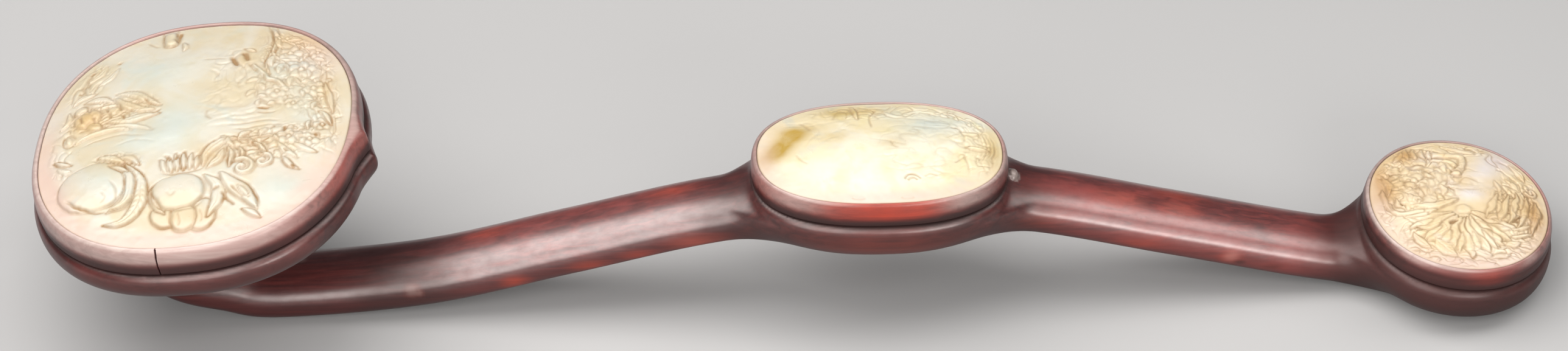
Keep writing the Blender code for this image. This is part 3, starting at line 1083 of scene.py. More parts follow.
            self.ink[near] = np.maximum(self.ink[near], cut)

    def blossom(self, centre: Point, radius: float, turn: float, lift: float, line: float) -> None:
        """A flower: five round petals about a bead.

        Args:
            centre: its middle.
            radius: its half size.
            turn: degrees that it is turned.
            lift: height of the petals.
            line: strength of the lines round its petals.
        """
        petal = tuple(side * radius for side in self.PETAL_SIZE)
        for degrees in np.arange(turn, turn + 360, 360 // self.PETALS):
            out = self.PETAL_PLACE * radius * cmath.rect(1, math.radians(degrees))
            self.boss((centre[0] + out.real, centre[1] + out.imag), petal, degrees, lift, line)
        self.boss(centre, (self.BEAD_SIZE * radius,) * 2, 0, lift + 0.15, line + 0.15)

    def spray(self, points: Sequence[Point], leaf: float, count: int, width: float, lift: float,
              line: float) -> None:
        """A stem with leaves on alternate sides, smaller towards its tip.

        Args:
            points: points of the stem.
            leaf: length of its first leaf.
            count: how many leaves it has.
            width: half width of its first leaf.
            lift: height of the leaves.
            line: strength of the cut lines.
        """
        way = catmull_rom(points, 12)
        self.form(points, 0.5, 0.6 * lift, line, taper=Taper.TAIL)
        for number in range(count):
            at = int((number + 0.6) / count * (len(way) - 2))
            side = 1 if number % 2 else -1
            ahead = way[at + 1] - way[at]
            heading = math.atan2(ahead[1], ahead[0]) + side * self.LEAF_ANGLE
            size = 1 - self.SHRINK * number / count
            bent, tip = (way[at] + leaf * size * share * np.array((math.cos(way_on), math.sin(way_on)))
                         for share, way_on in ((0.5, heading + 0.3 * side), (1, heading)))
            self.form((way[at], bent, tip), width * size, lift, line, 0.2)

    def scroll(self, centre: Point, radius: float, turns: float, start: float, width: float,
               lift: float, hand: int, line: float) -> None:
        """A curl: a tapering band along a spiral that runs in to its middle.

        Args:
            centre: the spiral's middle.
            radius: its radius where it starts.
            turns: how many turns it makes.
            start: direction of its start, in degrees.
            width: half width of its band.
            lift: height of the band.
            hand: 1 turns anticlockwise and -1 clockwise.
            line: strength of the cut lines.
        """
        share = np.linspace(0, 1, max(6, int(10 * turns)))[:, None]
        angle = math.radians(start) + hand * 2 * math.pi * turns * share
        out = radius * (1 - self.WOUND * share) * np.hstack((np.cos(angle), np.sin(angle)))
        self.form(out + centre, width, lift, line, taper=Taper.RIBBON)


def carve_head(cut: Relief) -> None:
    """Peach with its leaves, lotus, ribbon, flowering sprays and a winged creature.

    Args:
        cut: the head plaque's relief.
    """

    # soft swellings of the polished ground
    for rise in (((-6, 30), (20, 11), 10, 0.6), ((-6, -2), (16, 6), 8, 0.5), ((30, -36), (9, 6), -20, 0.4),
                 ((8, 14), (10, 7), 30, 0.35)):
        cut.swell(*rise)

    # fine foliage between the main forms
    for patch in (((34, 25), (12, 25), 8, 2.6, 0.22, 0.55, 21),
                  ((27, -13), (19, 9), 8, 2.4, 0.24, 0.65, 31),
                  ((-28, 13), (17, 8.5), 4, 2.4, 0.26, 0.6, 41),
                  ((-36, 32), (6, 12), -25, 2.8, 0.22, 0.35, 51),
                  ((-24, -12), (9, 4), -20, 2.4, 0.4, 0.6, 61), ((13, 27), (8, 12), 0, 4.0, 0.25, 0.25, 71),
                  ((43, 2), (6, 22), 4, 2.8, 0.24, 0.45, 81), ((14, 8), (13, 12), 0, 4.6, 0.15, 0.15, 91),
                  ((-44, -4), (4, 12), 0, 3.6, 0.2, 0.25, 195)):
        cut.tracery(*patch)

    # peach, lower left, with long leaves curling round its right side
    cut.form(((-22, -14), (-17.5, -22), (-16.4, -30), (-18.5, -37), (-23, -41), (-28.5, -40.5)), 2.5, 0.8,
             0.85, 0.35, 2.4)
    cut.boss((-32.5, -22.5), (11.6, 10.8), 15, 1.6, 0.35, 2.1)
    cut.form(((-25, -14), (-20.6, -20), (-19.8, -27), (-22, -33), (-27.5, -35.4)), 1.7, 1.5, 0.65, 0.3)
    cut.groove(((-42, -26), (-37, -31.4), (-31, -34.4), (-26.5, -34.6)), 0.5, 0.75)
    cut.groove(((-27, -21), (-24.6, -26), (-24.8, -31), (-28.4, -33.6)), 0.4, 0.5)
    cut.groove(((-29.5, -26), (-28, -29), (-30, -31.5)), 0.35, 0.25)
    cut.form(((-31, -9), (-26.5, -10), (-22, -13.6)), 1.5, 0.8, 0.7, 0.3, 1.8)
    cut.form(((-27, -14.6), (-23.4, -16.4), (-20.4, -19)), 1.1, 0.9, 0.9)
    cut.form(((-24, -10), (-20, -12), (-17, -16)), 1.1, 0.6, 0.5, 0.2)
    cut.groove(((-28.5, -12.6), (-25, -13), (-22, -15.4)), 0.6, 0.8)
    cut.form(((-46, -6), (-43, -7.8), (-40, -8.6)), 0.9, 0.6, 0.6)
    cut.form(((-45, -10), (-42, -12), (-40, -12)), 1.2, 0.8, 0.2)

    # lotus, lower middle: a smooth heart, scalloped skirt and standing crown
    cut.boss((-8.4, -41.4), (4.3, 5.0), 20, 0.7, 0.75, 2.4)
    cut.boss((4.2, -42.6), (4.2, 6.6), -14, 0.7, 0.75, 2.4)
    cut.boss((-2.3, -42.6), (4.0, 6.0), 0, 0.8, 0.7, 2.3)
    cut.groove(((-4, -40.6), (-3.4, -44), (-4, -47)), 0.35, 0.3)
    cut.groove(((3, -40), (4, -43.6), (3.6, -46.6)), 0.35, 0.3)
    cut.form(((4.5, -25), (9, -31), (8.6, -38), (5.6, -44.5)), 2.2, 0.8, 0.65, 0.25)
    cut.form(((-8.5, -25.4), (-12, -30), (-10.8, -36.4), (-8.2, -41)), 1.9, 0.8, 0.8)
    for number in range(6):
        lean = number - 2.5
        tip = (-3.6 + 2.7 * lean, -12.6 - abs(lean))
        path = ((-3.4 + 1.9 * lean, -21.6), (-3.6 + 2.3 * lean, -17), tip)
        cut.form(path, 1.05, 0.7, 0.55 + 0.2 * (number % 2), 0.15)
    cut.groove(((-10.5, -20.6), (-7, -22.4), (-3, -22.8), (2, -22.4), (5, -20.6)), 0.5, 0.6)
    cut.groove(((-9, -12.6), (-7.6, -15), (-6.6, -17.4)), 0.5, 0.85)
    cut.groove(((-3.4, -13), (-4.6, -15), (-5.2, -17)), 0.45, 0.75)
    cut.boss((-4.2, -31.6), (8.6, 7.6), 8, 1.8, 0.6, 2.3)
    cut.groove(((-12.4, -31), (-9.6, -37.6), (-3.6, -40.4), (3, -38.6), (5, -35)), 0.5, 0.35)
    cut.groove(((-7.6, -31.6), (-6, -33.8), (-4.6, -32)), 0.5, 0.18)
    cut.groove(((-12.8, -28.4), (-12.2, -32), (-10, -37), (-7.8, -40.6)), 0.45, 0.7)
    cut.groove(((9.6, -31.4), (8.4, -32.6), (7.2, -32.8)), 0.8, 0.7)

    # ribbon running down to the right from beside the lotus
    cut.form(((9.6, -25), (13.6, -30.6), (18, -36), (21.6, -43)), 3.0, 1.0, 0.5)
    cut.groove(((11.6, -24.6), (15, -28.8), (19, -32.8), (21.4, -38), (22.8, -42.6)), 0.55, 0.85)
    cut.groove(((10, -33.6), (12, -37), (14.8, -40.8)), 0.5, 0.75)
    cut.groove(((12.6, -31.6), (15.2, -35), (17.6, -38.8)), 0.4, 0.5)
    cut.form(((15.6, -32.6), (17.6, -35.4), (19, -38.4)), 0.9, 1.2, 0.3)
    cut.form(((17, -42.6), (20, -44.6), (22.6, -47)), 1.3, 0.7, 0.7)

    # flowering sprays from the lotus to the right edge
    cut.groove(((2.6, -19.6), (2.8, -15.6), (5, -11.8), (9.6, -7.8)), 0.6, 0.85)
    cut.form(((4, -20.6), (5, -15), (10, -10), (16, -9)), 1.8, 0.7, 0.5, 0.3, 1.6)
    cut.form(((5.4, -22), (9, -18.6), (11, -14)), 1.5, 0.7, 0.5, 0.25)
    cut.spray(((10, -8), (18, -10), (27, -9), (36, -8), (43, -4)), 5.4, 9, 1.15, 0.7, 0.5)
    cut.form(((12, -13), (13.4, -17), (12.6, -22.4)), 1.0, 0.9, 0.7)
    cut.form(((15.6, -13.6), (17, -17), (16.4, -21)), 0.9, 0.9, 0.8)
    cut.form(((20, -12.6), (22.6, -14.6), (24.4, -18.4)), 1.0, 0.9, 0.9)
    cut.scroll((17, -23.6), 4.2, 1.1, 120, 0.8, 0.8, -1, 0.6)
    cut.scroll((23.4, -21.6), 3.6, 1.0, 100, 0.75, 0.7, -1, 0.55)
    cut.form(((28, -13), (31, -17.6), (34.6, -21)), 1.2, 0.7, 0.5, 0.2)
    cut.form(((29.6, -20), (32, -24), (35, -26.6)), 1.1, 0.7, 0.6, 0.2)
    cut.form(((33, -13.6), (37, -17), (40.6, -19)), 1.1, 0.6, 0.5, 0.2)
    for flower in (((31.6, -10.4), 3.6, 10, 0.39, 0.38), ((38.4, -12.4), 3.2, 45, 0.39, 0.41),
                   ((42.6, -5.4), 3.0, 30, 0.33, 0.38)):
        cut.blossom(*flower)
    cut.nicks(((14.9, -14.2), (22.9, -17.6), (40.1, -10.4), (30.5, -6.2), (30.9, -17.4), (33.3, -25.2)),
              (0.4, -1.3), 0.75, 0.85)
    cut.groove(((9, -1.4), (15, -2.6), (22, -1.6), (30, -2.2)), 0.45, 0.35)
    cut.groove(((12, -4.6), (18, -4.8), (25, -3.8), (32, -5)), 0.4, 0.35)
    cut.groove(((7, 1), (4.4, 4), (5, 7)), 0.5, 0.3)

    # branch with blossoms and leaves, upper right
    cut.form(((24.6, 51), (26.6, 43), (26, 36), (23.8, 29), (24.6, 22)), 1.1, 0.9, 0.65, taper=Taper.TAIL)
    cut.form(((19.4, 28), (22.6, 23.4), (24.6, 19.6), (28, 18), (30.4, 13.6)), 0.8, 0.7, 0.45,
             taper=Taper.RIBBON)
    cut.spray(((25.6, 34), (29.6, 28), (33, 20), (38, 12), (42, 3)), 6.0, 9, 1.35, 0.65, 0.42)
    cut.spray(((26.6, 44), (31, 40), (36, 36), (39, 30), (41.6, 24)), 5.0, 7, 1.2, 0.6, 0.38)
    cut.spray(((22, 22), (20.6, 16), (21.6, 10), (26, 5)), 4.4, 6, 1.0, 0.5, 0.32)
    for flower in (((35.4, 23.6), 4.4, 10, 0.44, 0.32), ((31.6, 33.4), 3.8, 70, 0.39, 0.27),
                   ((39.6, 13.4), 3.6, 50, 0.39, 0.30), ((27.6, 13), 3.4, 30, 0.33, 0.26),
                   ((33, 6), 3.0, 0, 0.33, 0.26), ((40.4, 33), 2.8, 20, 0.33, 0.26)):
        cut.blossom(*flower)
    cut.form(((43, 16), (44.6, 8), (45.6, 0)), 1.2, 0.7, 0.5, 0.25)
    cut.form(((41.4, 1), (43.6, -1), (45.6, -6)), 1.0, 0.7, 0.6)
    cut.groove(((20.6, 5.2), (23, 4.6), (26, 4.6)), 0.6, 0.7, 0.3)
    cut.groove(((20.6, 2.6), (24, 2.0), (28, 2.6)), 0.45, 0.4)
    for x, y in ((12.9, 31.6), (16.8, 33.6)):
        cut.groove(((x - 0.9, y + 3.6), (x, y), (x + 1.0, y - 3.6)), 0.8, 1.2, 0.3)
    cut.groove(((18, 29.6), (19.4, 26.4), (21.4, 24.4)), 0.6, 0.6)
    cut.groove(((2, 34.6), (7, 34), (11, 33)), 0.4, 0.25)
    cut.form(((16.4, 38.4), (18, 37.6), (19.6, 36.2)), 0.8, 0.6, 0.5)

    # winged creature, left
    cut.form(((-11, 13), (-15, 16.4), (-19, 20.6), (-26, 23)), 1.7, 0.7, 0.4, 0.3, 1.4)
    cut.form(((-13, 11.4), (-18, 13), (-23, 16.6), (-27, 21)), 1.7, 0.8, 0.45, 0.3, 1.4)
    cut.form(((-11, 9), (-17, 8.4), (-23, 8), (-29, 9)), 1.6, 0.8, 0.5, 0.3, 1.4)
    cut.form(((-27, 19), (-31, 22), (-37, 22)), 1.4, 0.6, 0.4, 0.25, 1.2)
    cut.boss((-35.4, 13), (4.8, 4.0), 35, 1.1, 0.5)
    cut.boss((-38, 18), (2.6, 2.0), 40, 0.8, 0.45)
    cut.boss((-33, 8), (2.8, 2.0), -30, 0.7, 0.45)
    cut.nicks(((-35, 16.6), (-33.2, 11), (-29, 15.6), (-27.8, 12.4), (-23, 10.2), (-24.4, 15.4),
               (-37.6, 12.4)), (0.5, -2.1), 0.5, 0.85)
    cut.groove(((-16.4, 18.4), (-14.2, 14.4), (-10.2, 12.6)), 0.5, 0.7)
    cut.groove(((-15, 10.6), (-12.6, 10.2), (-10.6, 11.4)), 0.5, 0.6)
    cut.form(((-39.6, 1), (-34, 3.8), (-27, 4.6), (-20, 2.6)), 1.1, 0.8, 0.35)
    cut.form(((-30, 6.4), (-24, 6), (-18, 4), (-13, 0.6)), 0.9, 0.5, 0.3)
    cut.ring((-41.4, 3.6), (2.3, 3.0), 0.55)
    cut.boss((-41.4, 3.6), (1.2, 1.7), 0, 0.5, 0.2)
    cut.groove(((-38, -1.6), (-31, 0.6), (-24, 1), (-14, -2)), 0.4, 0.3)
    cut.groove(((-26, -4), (-19, -3), (-11, -6)), 0.4, 0.2)
    cut.form(((-44.6, 10), (-42, 14), (-42, 19)), 1.1, 0.6, 0.35)
    cut.form(((-41, 22), (-38, 25), (-33, 26)), 1.2, 0.6, 0.35, 0.2)

    # finer strokes over the crowded parts
    for patch in (((33, 24), (13, 26), 8, 3.4, 0.10, 0.30, 121),
                  ((28, -13), (18, 9), 8, 3.2, 0.10, 0.36, 131),
                  ((-28, 13), (16, 8), 4, 3.2, 0.08, 0.32, 141)):
        cut.tracery(*patch)

    # small marks along the far left edge and the raised piece at the far side
    for at, tilt in (((-38.8, 28), 0.4), ((-35.2, 38), -1.4), ((-33, 36.4), -1.4), ((-26, 41), 0.5)):
        cut.nicks((at,), (0.9, -tilt), 0.65, 0.65)
    cut.form(((-36, 33), (-32.4, 36.4), (-30, 41)), 1.2, 0.5, 0.35, 0.2)
    cut.form(((-33, 30), (-29, 33), (-26, 38)), 1.1, 0.5, 0.25, 0.2)
    cut.form(((-9.4, 55), (-9.2, 51), (-9, 47.6)), 2.1, 1.5, 0.6, taper=Taper.RIBBON)
    cut.groove(((-6, 54), (-6.2, 50.6), (-7.4, 47.4)), 0.8, 0.9, 0.2)
    cut.form(((-5, 47.4), (-4, 44.8), (-4.4, 42)), 0.9, 0.6, 0.4)
    cut.groove(((-12.6, 46.4), (-15.4, 48.6), (-17, 51.4)), 0.4, 0.35)


def carve_middle(cut: Relief) -> None:
    """Nearly plain polish, with light lines at the far side and the right end and one small shell.

    Args:
        cut: the middle plaque's relief.
    """
    for rise in (((-6, -3), (19, 10), 0, 0.9), ((19, 4), (9, 8), 20, 0.5), ((-32, 4), (5, 7), -30, -0.3),
                 ((7, -15), (9, 4), 10, 0.35)):
        cut.swell(*rise)
    for patch in (((33, 1), (9, 16), 0, 3.2, 0.22, 0.34, 22), ((2, 19), (26, 5), 0, 3.4, 0.2, 0.30, 32)):
        cut.tracery(*patch)
    cut.form(((-8.6, 24), (-7.4, 19.6), (-6.4, 14.4)), 0.9, 0.45, 0.4)
    cut.groove(((-5, 20), (-1, 19.8), (-2.6, 14.4), (-2, 8)), 0.4, 0.5)
    cut.groove(((-10.6, 21), (-13.6, 18), (-14.6, 13.6)), 0.4, 0.25)
    cut.groove(((-26, 15), (-23.6, 12), (-22, 9)), 0.5, 0.35)
    cut.groove(((-28, -2), (-26.4, -5), (-23.8, -8)), 0.4, 0.3)
    cut.form(((2, 19), (5, 16), (9, 15)), 1.0, 0.4, 0.3)
    cut.groove(((3.6, 1.6), (4.6, -1.4), (6.6, -2.6)), 0.4, 0.35)
    cut.ring((10, -17.4), (3.2, 2.6), 0.55, 20, 140)
    cut.ring((10, -17.4), (1.8, 1.4), 0.45, 20, 140)
    cut.groove(((13.6, -15.6), (16, -14), (18.6, -14.6)), 0.35, 0.4)
    for number in range(5):
        x, y = 33 + 1.4 * number, 9 - number
        depth = 0.3 + 0.12 * (number % 2)
        cut.groove(((x - 0.6, y), (x + 0.6, 3), (x + 0.4, -3), (x - 1.6, -y)), 0.36, depth)
    cut.form(((28.4, -0.6), (32, -1.4), (35.6, -1.8)), 0.8, 0.8, 0.55)
    cut.groove(((28.4, -4.6), (26.4, -6.6), (24, -9)), 0.4, 0.4)
    cut.groove(((23.6, 9.2), (25, 8.8), (26.6, 8.8)), 0.45, 0.4)
    cut.form(((27, 7), (30, 6), (33, 6.6)), 0.9, 0.4, 0.3)
    cut.spray(((20, 18), (25, 17.6), (30, 14), (34, 9)), 3.2, 6, 0.7, 0.5, 0.3)
    for at in ((22, 22.4), (25, 21.2)):
        cut.boss(at, (1.1, 0.8), -30, 0.7, 0.3)
    for at in ((-8, -22.6), (8, -22.8)):
        cut.ring(at, (2.4, 1.2), 0.25, 200, 140)
    for patch in (((18, 0), (20, 18), 0, 4.4, 0.12, 0.16, 42),
                  ((-20, 10), (14, 10), 0, 5.0, 0.10, 0.12, 52)):
        cut.tracery(*patch)


def carve_tail(cut: Relief) -> None:
    """A fan of petals below, leaves and a seed pod to the left, and a hooked bud above.

    Args:
        cut: the tail plaque's relief.
    """
    for rise in (((9, 16), (5, 11), -25, 0.7), ((5, 2), (6, 3), 10, 0.8)):
        cut.swell(*rise)

    # fine foliage between the main forms
    for patch in (((-12, 12), (14, 17), 0, 2.6, 0.5, 0.6, 23), ((-18, -8), (10, 10), 0, 2.6, 0.45, 0.6, 33),
                  ((2, -20), (24, 12), 0, 2.6, 0.45, 0.6, 43), ((19, -3), (9, 15), 0, 2.6, 0.5, 0.6, 53),
                  ((1, 27), (13, 4), 0, 2.6, 0.35, 0.5, 63), ((21, 16), (6, 9), 30, 2.8, 0.3, 0.4, 73)):
        cut.tracery(*patch)

    # fan of petals that spreads from the middle
    heart = complex(-0.5, -6.0)
    for number in range(9):
        aim = math.radians(196 + 19.0 * number + 3 * math.sin(5.0 * number))
        reach = 19.0 - 2.2 * math.sin(3.1 * number) + 3.0 * math.exp(-((number - 4) / 1.5) ** 2)
        bow = 0.16 * (number - 4) / 4
        path = [heart + cmath.rect(*spoke)
                for spoke in ((3.2, aim), (0.55 * reach, aim - bow), (reach, aim + bow))]
        cut.form([(spot.real, spot.imag) for spot in path], 2.7, 0.9, 0.5 + 0.12 * (number % 3), 0.3)
    for number in range(8):
        path = [heart + cmath.rect(out, math.radians(206 + 19.0 * number)) for out in (11, 20)]
        cut.form([(spot.real, spot.imag) for spot in path], 1.1, 0.8, 0.5)
    cut.form(((-10.6, -19.6), (-8, -23.6), (-4, -27.4)), 2.6, 0.8, 0.45, 0.25, 1.6)
    cut.form(((-17.6, -17.6), (-16, -21), (-12.6, -24)), 1.6, 0.7, 0.55, 0.2)
    cut.form(((1.6, -23), (4, -25.4), (8, -26)), 1.6, 0.6, 0.4, 0.2)
    cut.form(((12, -20), (15.6, -20.6), (18.6, -19.4)), 1.4, 0.7, 0.5, 0.2)
    cut.groove(((-5.6, -13), (-4, -12.4), (-2.4, -12)), 0.75, 1.1, 0.3)
    cut.boss((0.4, -5.4), (3.0, 1.9), 10, 0.4, 0.3)

    # long leaves over the fan, left
    cut.form(((-16, -3.6), (-11, -4.4), (-6, -3.4), (-1, -0.6)), 1.5, 1.2, 0.45, 0.2)
    cut.form(((-19.6, -10), (-16, -8.8), (-12.4, -7.6), (-8, -5.8)), 1.3, 1.0, 0.55, 0.2)
    cut.form(((-24, -3), (-23, -6.6), (-19.4, -8.2), (-14, -6.8)), 0.9, 0.8, 0.6, taper=Taper.RIBBON)
    cut.form(((-21.6, 0), (-20.6, -3.4), (-18.4, -5.6)), 1.1, 0.8, 0.6)
    cut.groove(((-20, -2.4), (-19.8, -3.6), (-19.2, -4.6)), 0.7, 1.0, 0.3)
    cut.groove(((-12.2, -7.4), (-11.8, -8.4), (-11.6, -9.4)), 0.6, 0.8, 0.3)

    # seed pod: rows of cells
    for row in range(4):
        for column in range(5):
            x = -20.6 + 3.7 * column + 0.9 * (row % 2)
            y = 3.0 + 4.1 * row + 0.5 * math.sin(2.2 * column + row)
            line = 0.34 + 0.1 * ((row + column) % 3)
            cut.boss((x, y), (1.9, 1.0), 25 * row - 35 * column, 0.32, line, 3.6)
    cut.form(((-24.6, 12), (-22.8, 7), (-24, 1)), 1.2, 0.7, 0.5, 0.2)
    cut.form(((-25.6, 5), (-25.2, -1), (-23.6, -6)), 1.0, 0.6, 0.5)
    cut.form(((-6, 6.4), (-4.6, 3.6), (-5.2, 1.2)), 1.1, 0.7, 0.4)

    # hooked bud and leaves above
    cut.form(((-6.4, 23.4), (-1, 23.2), (3, 22.4), (2.8, 17.6), (1.2, 14.6)), 1.4, 1.1, 0.6,
             taper=Taper.RIBBON)
    cut.boss((0.1, 13.2), (1.7, 1.5), 0, 1.5, 0.8)
    cut.groove(((-2.4, 11), (0, 10.8), (2.4, 11.6)), 0.6, 0.7, 0.3)
    cut.form(((-4.6, 19.6), (-3.4, 17), (-3.2, 13.6)), 1.2, 0.8, 0.5)
    cut.form(((-7, 20.6), (-1.4, 19.8), (0.4, 18)), 0.9, 0.7, 0.5, taper=Taper.RIBBON)
    for number in range(4):
        place = -14.6 + 2.4 * number
        cut.form(((place, 28.4 - 0.6 * number), (place - 0.4, 24.6), (place + 0.2, 20.6)), 0.95, 0.8, 0.55)
    cut.form(((-20, 20), (-17, 22.6), (-16, 26)), 1.1, 0.7, 0.5)
    cut.form(((-2, 28.6), (3, 27.6), (8, 25)), 1.0, 0.6, 0.35)
    cut.form(((14, 26), (13.4, 22.6), (15, 19)), 1.1, 0.6, 0.35, 0.2)

    # leaves and curls, right
    cut.form(((12.6, 4), (11, -1), (8.6, -6), (7.4, -9)), 1.2, 0.9, 0.4)
    cut.form(((16.6, 4.4), (15.4, -1), (13.2, -6.4), (12, -11)), 1.3, 1.0, 0.5, 0.2)
    cut.form(((19.8, 5), (18.8, -1), (17, -6), (15.6, -10.6)), 1.2, 1.0, 0.5, 0.2)
    cut.form(((23, 4), (22.4, -2), (20.4, -8), (17.4, -13)), 1.3, 1.0, 0.55, 0.2)
    cut.form(((26, 2), (26, -4), (24, -10), (22, -14.6)), 1.2, 1.0, 0.7, 0.2)
    cut.form(((15, -17.4), (18.4, -16.4), (22.6, -14.4)), 0.9, 0.9, 0.65)
    cut.form(((16, -13.6), (19.6, -12.4), (23, -10.6)), 0.8, 0.8, 0.5)
    cut.scroll((25.2, 6.6), 2.2, 1.0, 200, 0.6, 0.7, 1, 0.5)
    cut.form(((20, 21), (22.4, 17), (24, 12.6)), 1.1, 0.6, 0.45, 0.2)
    cut.form(((17.6, 12), (19.6, 9.4), (21, 6)), 1.0, 0.6, 0.35)
    cut.form(((13, 10.6), (14, 8), (13.4, 5)), 0.9, 0.5, 0.3)

    # finer strokes over all but the smooth band
    for patch in (((-9, 12), (18, 16), 0, 3.4, 0.14, 0.38, 223),
                  ((0, -17), (12, 26), 90, 3.4, 0.12, 0.32, 243),
                  ((20, -2), (9, 15), 0, 3.4, 0.14, 0.38, 253)):
        cut.tracery(*patch)


# ---------------------------------------------------------------- plaques

@dataclass
class Plaque:
    """A domed jade plaque with its carving, its soft oval patches of colour and its painted pink reflection.

    A patch is (centre, half sizes, degrees turned, strength), and covers strength exp(-r^2) of the
    plaque, with r the distance in half sizes.
    """

    setting: Setting
    finish: bpy.types.Material
    carving: Callable[[Relief], None]
    grid: int
    crowding: float = 1.25              # radians whose sine crowds the grid towards its sides
    dome: float = 2.2                   # power by which the dome falls towards its edge
    celadon: tuple = ()
    honey: tuple = ()
    # patches of painted pink reflection near the rim
    pink_reflection: tuple = ()
    front_reflection: float = 0.6                   # strength of the painted pink reflection on the margin at the front
    relief: float = 1.0                 # share of the carving's height that is left
    wander: float = 0.5                 # how far the carver's line strays
    sink: float = 0.3                   # thin edge of the plaque below the bezel's top
    fall: float = 0.4                   # radius at the plaque's edge
    plain: float = 4.0                  # width of the margin over which the carving rises
    skirt: int = 3                      # rows of faces down its side
    waves: tuple = ((0.12, 5.0, 3), (0.08, 1.9, 5))     # (height, cell, seed) of its uneven polish
    seam_dirt: float = 0.3
    hollow_dirt: float = 0.5
    line_dirt: float = 1.35

    def disc(self) -> tuple[Array, Array]:
        """Square grid bent to a disc, (x sqrt(1 - y^2 / 2), y sqrt(1 - x^2 / 2)).

        Returns:
            Share of the way out, 0..1, and direction, for each vertex of the grid.
        """
        side = np.sin(np.linspace(-1, 1, self.grid) * self.crowding) / math.sin(self.crowding)
        x, y = np.meshgrid(side, side, indexing="ij")
        a, b = x * np.sqrt(1 - y * y / 2), y * np.sqrt(1 - x * x / 2)
        return np.minimum(np.hypot(a, b), 1.0), np.arctan2(b, a)

    @staticmethod
    def hollows(height: Array, reach: int = 5) -> Array:
        """How far each vertex lies below its surroundings.

        Args:
            height: heights on the grid.
            reach: half size of the surroundings, in vertices.

        Returns:
            The mean height around less the height, where that is above 0.
        """
        around = np.pad(height, reach, mode="edge")
        for axis in (0, 1):
            around = np.lib.stride_tricks.sliding_window_view(around, 2 * reach + 1, axis).mean(-1)
        return np.clip(around - height, 0, None)

    def close(self, face: Array, foot: Array, middle: Array) -> tuple[Array, Array]:
        """Closes the face down to its seat.

        Args:
            face: points of the face, on the grid.
            foot: the same points at the level of the underside.
            middle: the middle of the underside.

        Returns:
            All the points, and triangles of the face, the skirt and the underside.
        """
        number = np.arange(self.grid ** 2).reshape(self.grid, self.grid)
        border = np.concatenate((number[:-1, 0], number[-1, :-1], number[:0:-1, -1], number[0, :0:-1]))
        ring, low = face.reshape(-1, 3)[border], foot.reshape(-1, 3)[border]
        shares = np.linspace(0, 1, self.skirt + 1)[1:, None, None]
        skirt = (ring * (1 - shares) + low * shares).reshape(-1, 3)
        points = np.vstack((face.reshape(-1, 3), skirt, middle))
        rings = np.vstack((border, np.arange(number.size, len(points) - 1).reshape(self.skirt, -1)))
        after = np.roll(rings, -1, axis=1)
        a, b, c, d = number[:-1, :-1], number[1:, :-1], number[1:, 1:], number[:-1, 1:]
        corners = ((a, b, c), (a, c, d), (rings[:-1], rings[1:], after[1:]),
                   (rings[:-1], after[1:], after[:-1]),
                   (rings[-1], np.full(len(border), len(points) - 1), after[-1]))
        return points, np.vstack([np.stack(corner, -1).reshape(-1, 3) for corner in corners])

    def build(self) -> bpy.types.Object:
        """Carves the plaque, closes it down to its seat and paints its patches.

        Returns:
            The piece.
        """
        setting = self.setting
        out, angle = self.disc()
        edge = setting.radius(angle, 0.0, 0.0) - setting.rim_width - 0.1
        u, v = edge * out * np.cos(angle), edge * out * np.sin(angle)
        cut = Relief(u.ravel(), v.ravel(), self.wander)
        self.carving(cut)
        height, ink = cut.height.reshape(u.shape), cut.ink.reshape(u.shape)
        margin = edge * (1 - out)
        carved = self.relief * height * smooth_step(0.4, self.plain, margin)
        drop = self.fall * (1 - np.sqrt(np.clip(1 - (1 - np.clip(margin / self.fall, 0, 1)) ** 2, 0, 1)))
        highlight_colour = sum(high * (value_noise(u, v, *wave) - 0.5) for high, *wave in self.waves)
        dome = setting.crown * (1 - out ** self.dome)
        top = setting.bezel_height - self.sink + dome + carved + highlight_colour - drop
        points, faces = self.close(setting.place(u, v, top), setting.place(u, v, np.full(u.shape, GAP)),
                                   setting.place(*np.array(((0.0,), (0.0,), (GAP,)))))

        patchy = 0.45 + 0.75 * value_noise(u, v, 4.5, 11) * (0.6 + 0.8 * value_noise(u, v, 1.7, 13))
        lines = self.line_dirt * ink * patchy * smooth_step(0.4, 0.75 * self.plain, margin)
        shade = self.hollow_dirt * smooth_step(0.08, 0.5, self.hollows(height))
        seam = self.seam_dirt * smooth_step(0.7, 0.1, margin)
        layers = {"hollow": np.maximum(np.maximum(lines, shade), seam)}
        # painted pink reflection on the front margin
        front = smooth_step(0.45, -0.55, np.sin(angle) + 0.35 * np.cos(angle))
        front_reflection = self.front_reflection * smooth_step(9.0, 2.0, margin) * front
        for name in ("celadon", "honey", "pink_reflection"):
            layers[name] = front_reflection * (name == "pink_reflection")
            for *oval, strength in getattr(self, name):
                a, b = in_oval(u, v, *oval)
                layers[name] = layers[name] + strength * np.exp(-(a * a + b * b))
        layers = {name: np.append(np.clip(values, 0, 1), np.full(len(points) - u.size, name == "hollow"))
                  for name, values in layers.items()}
        return make_piece(setting.name + "_jade", setting.name + "_plaque", self.finish, points,
                          faces, layers)


# ---------------------------------------------------------------- studio

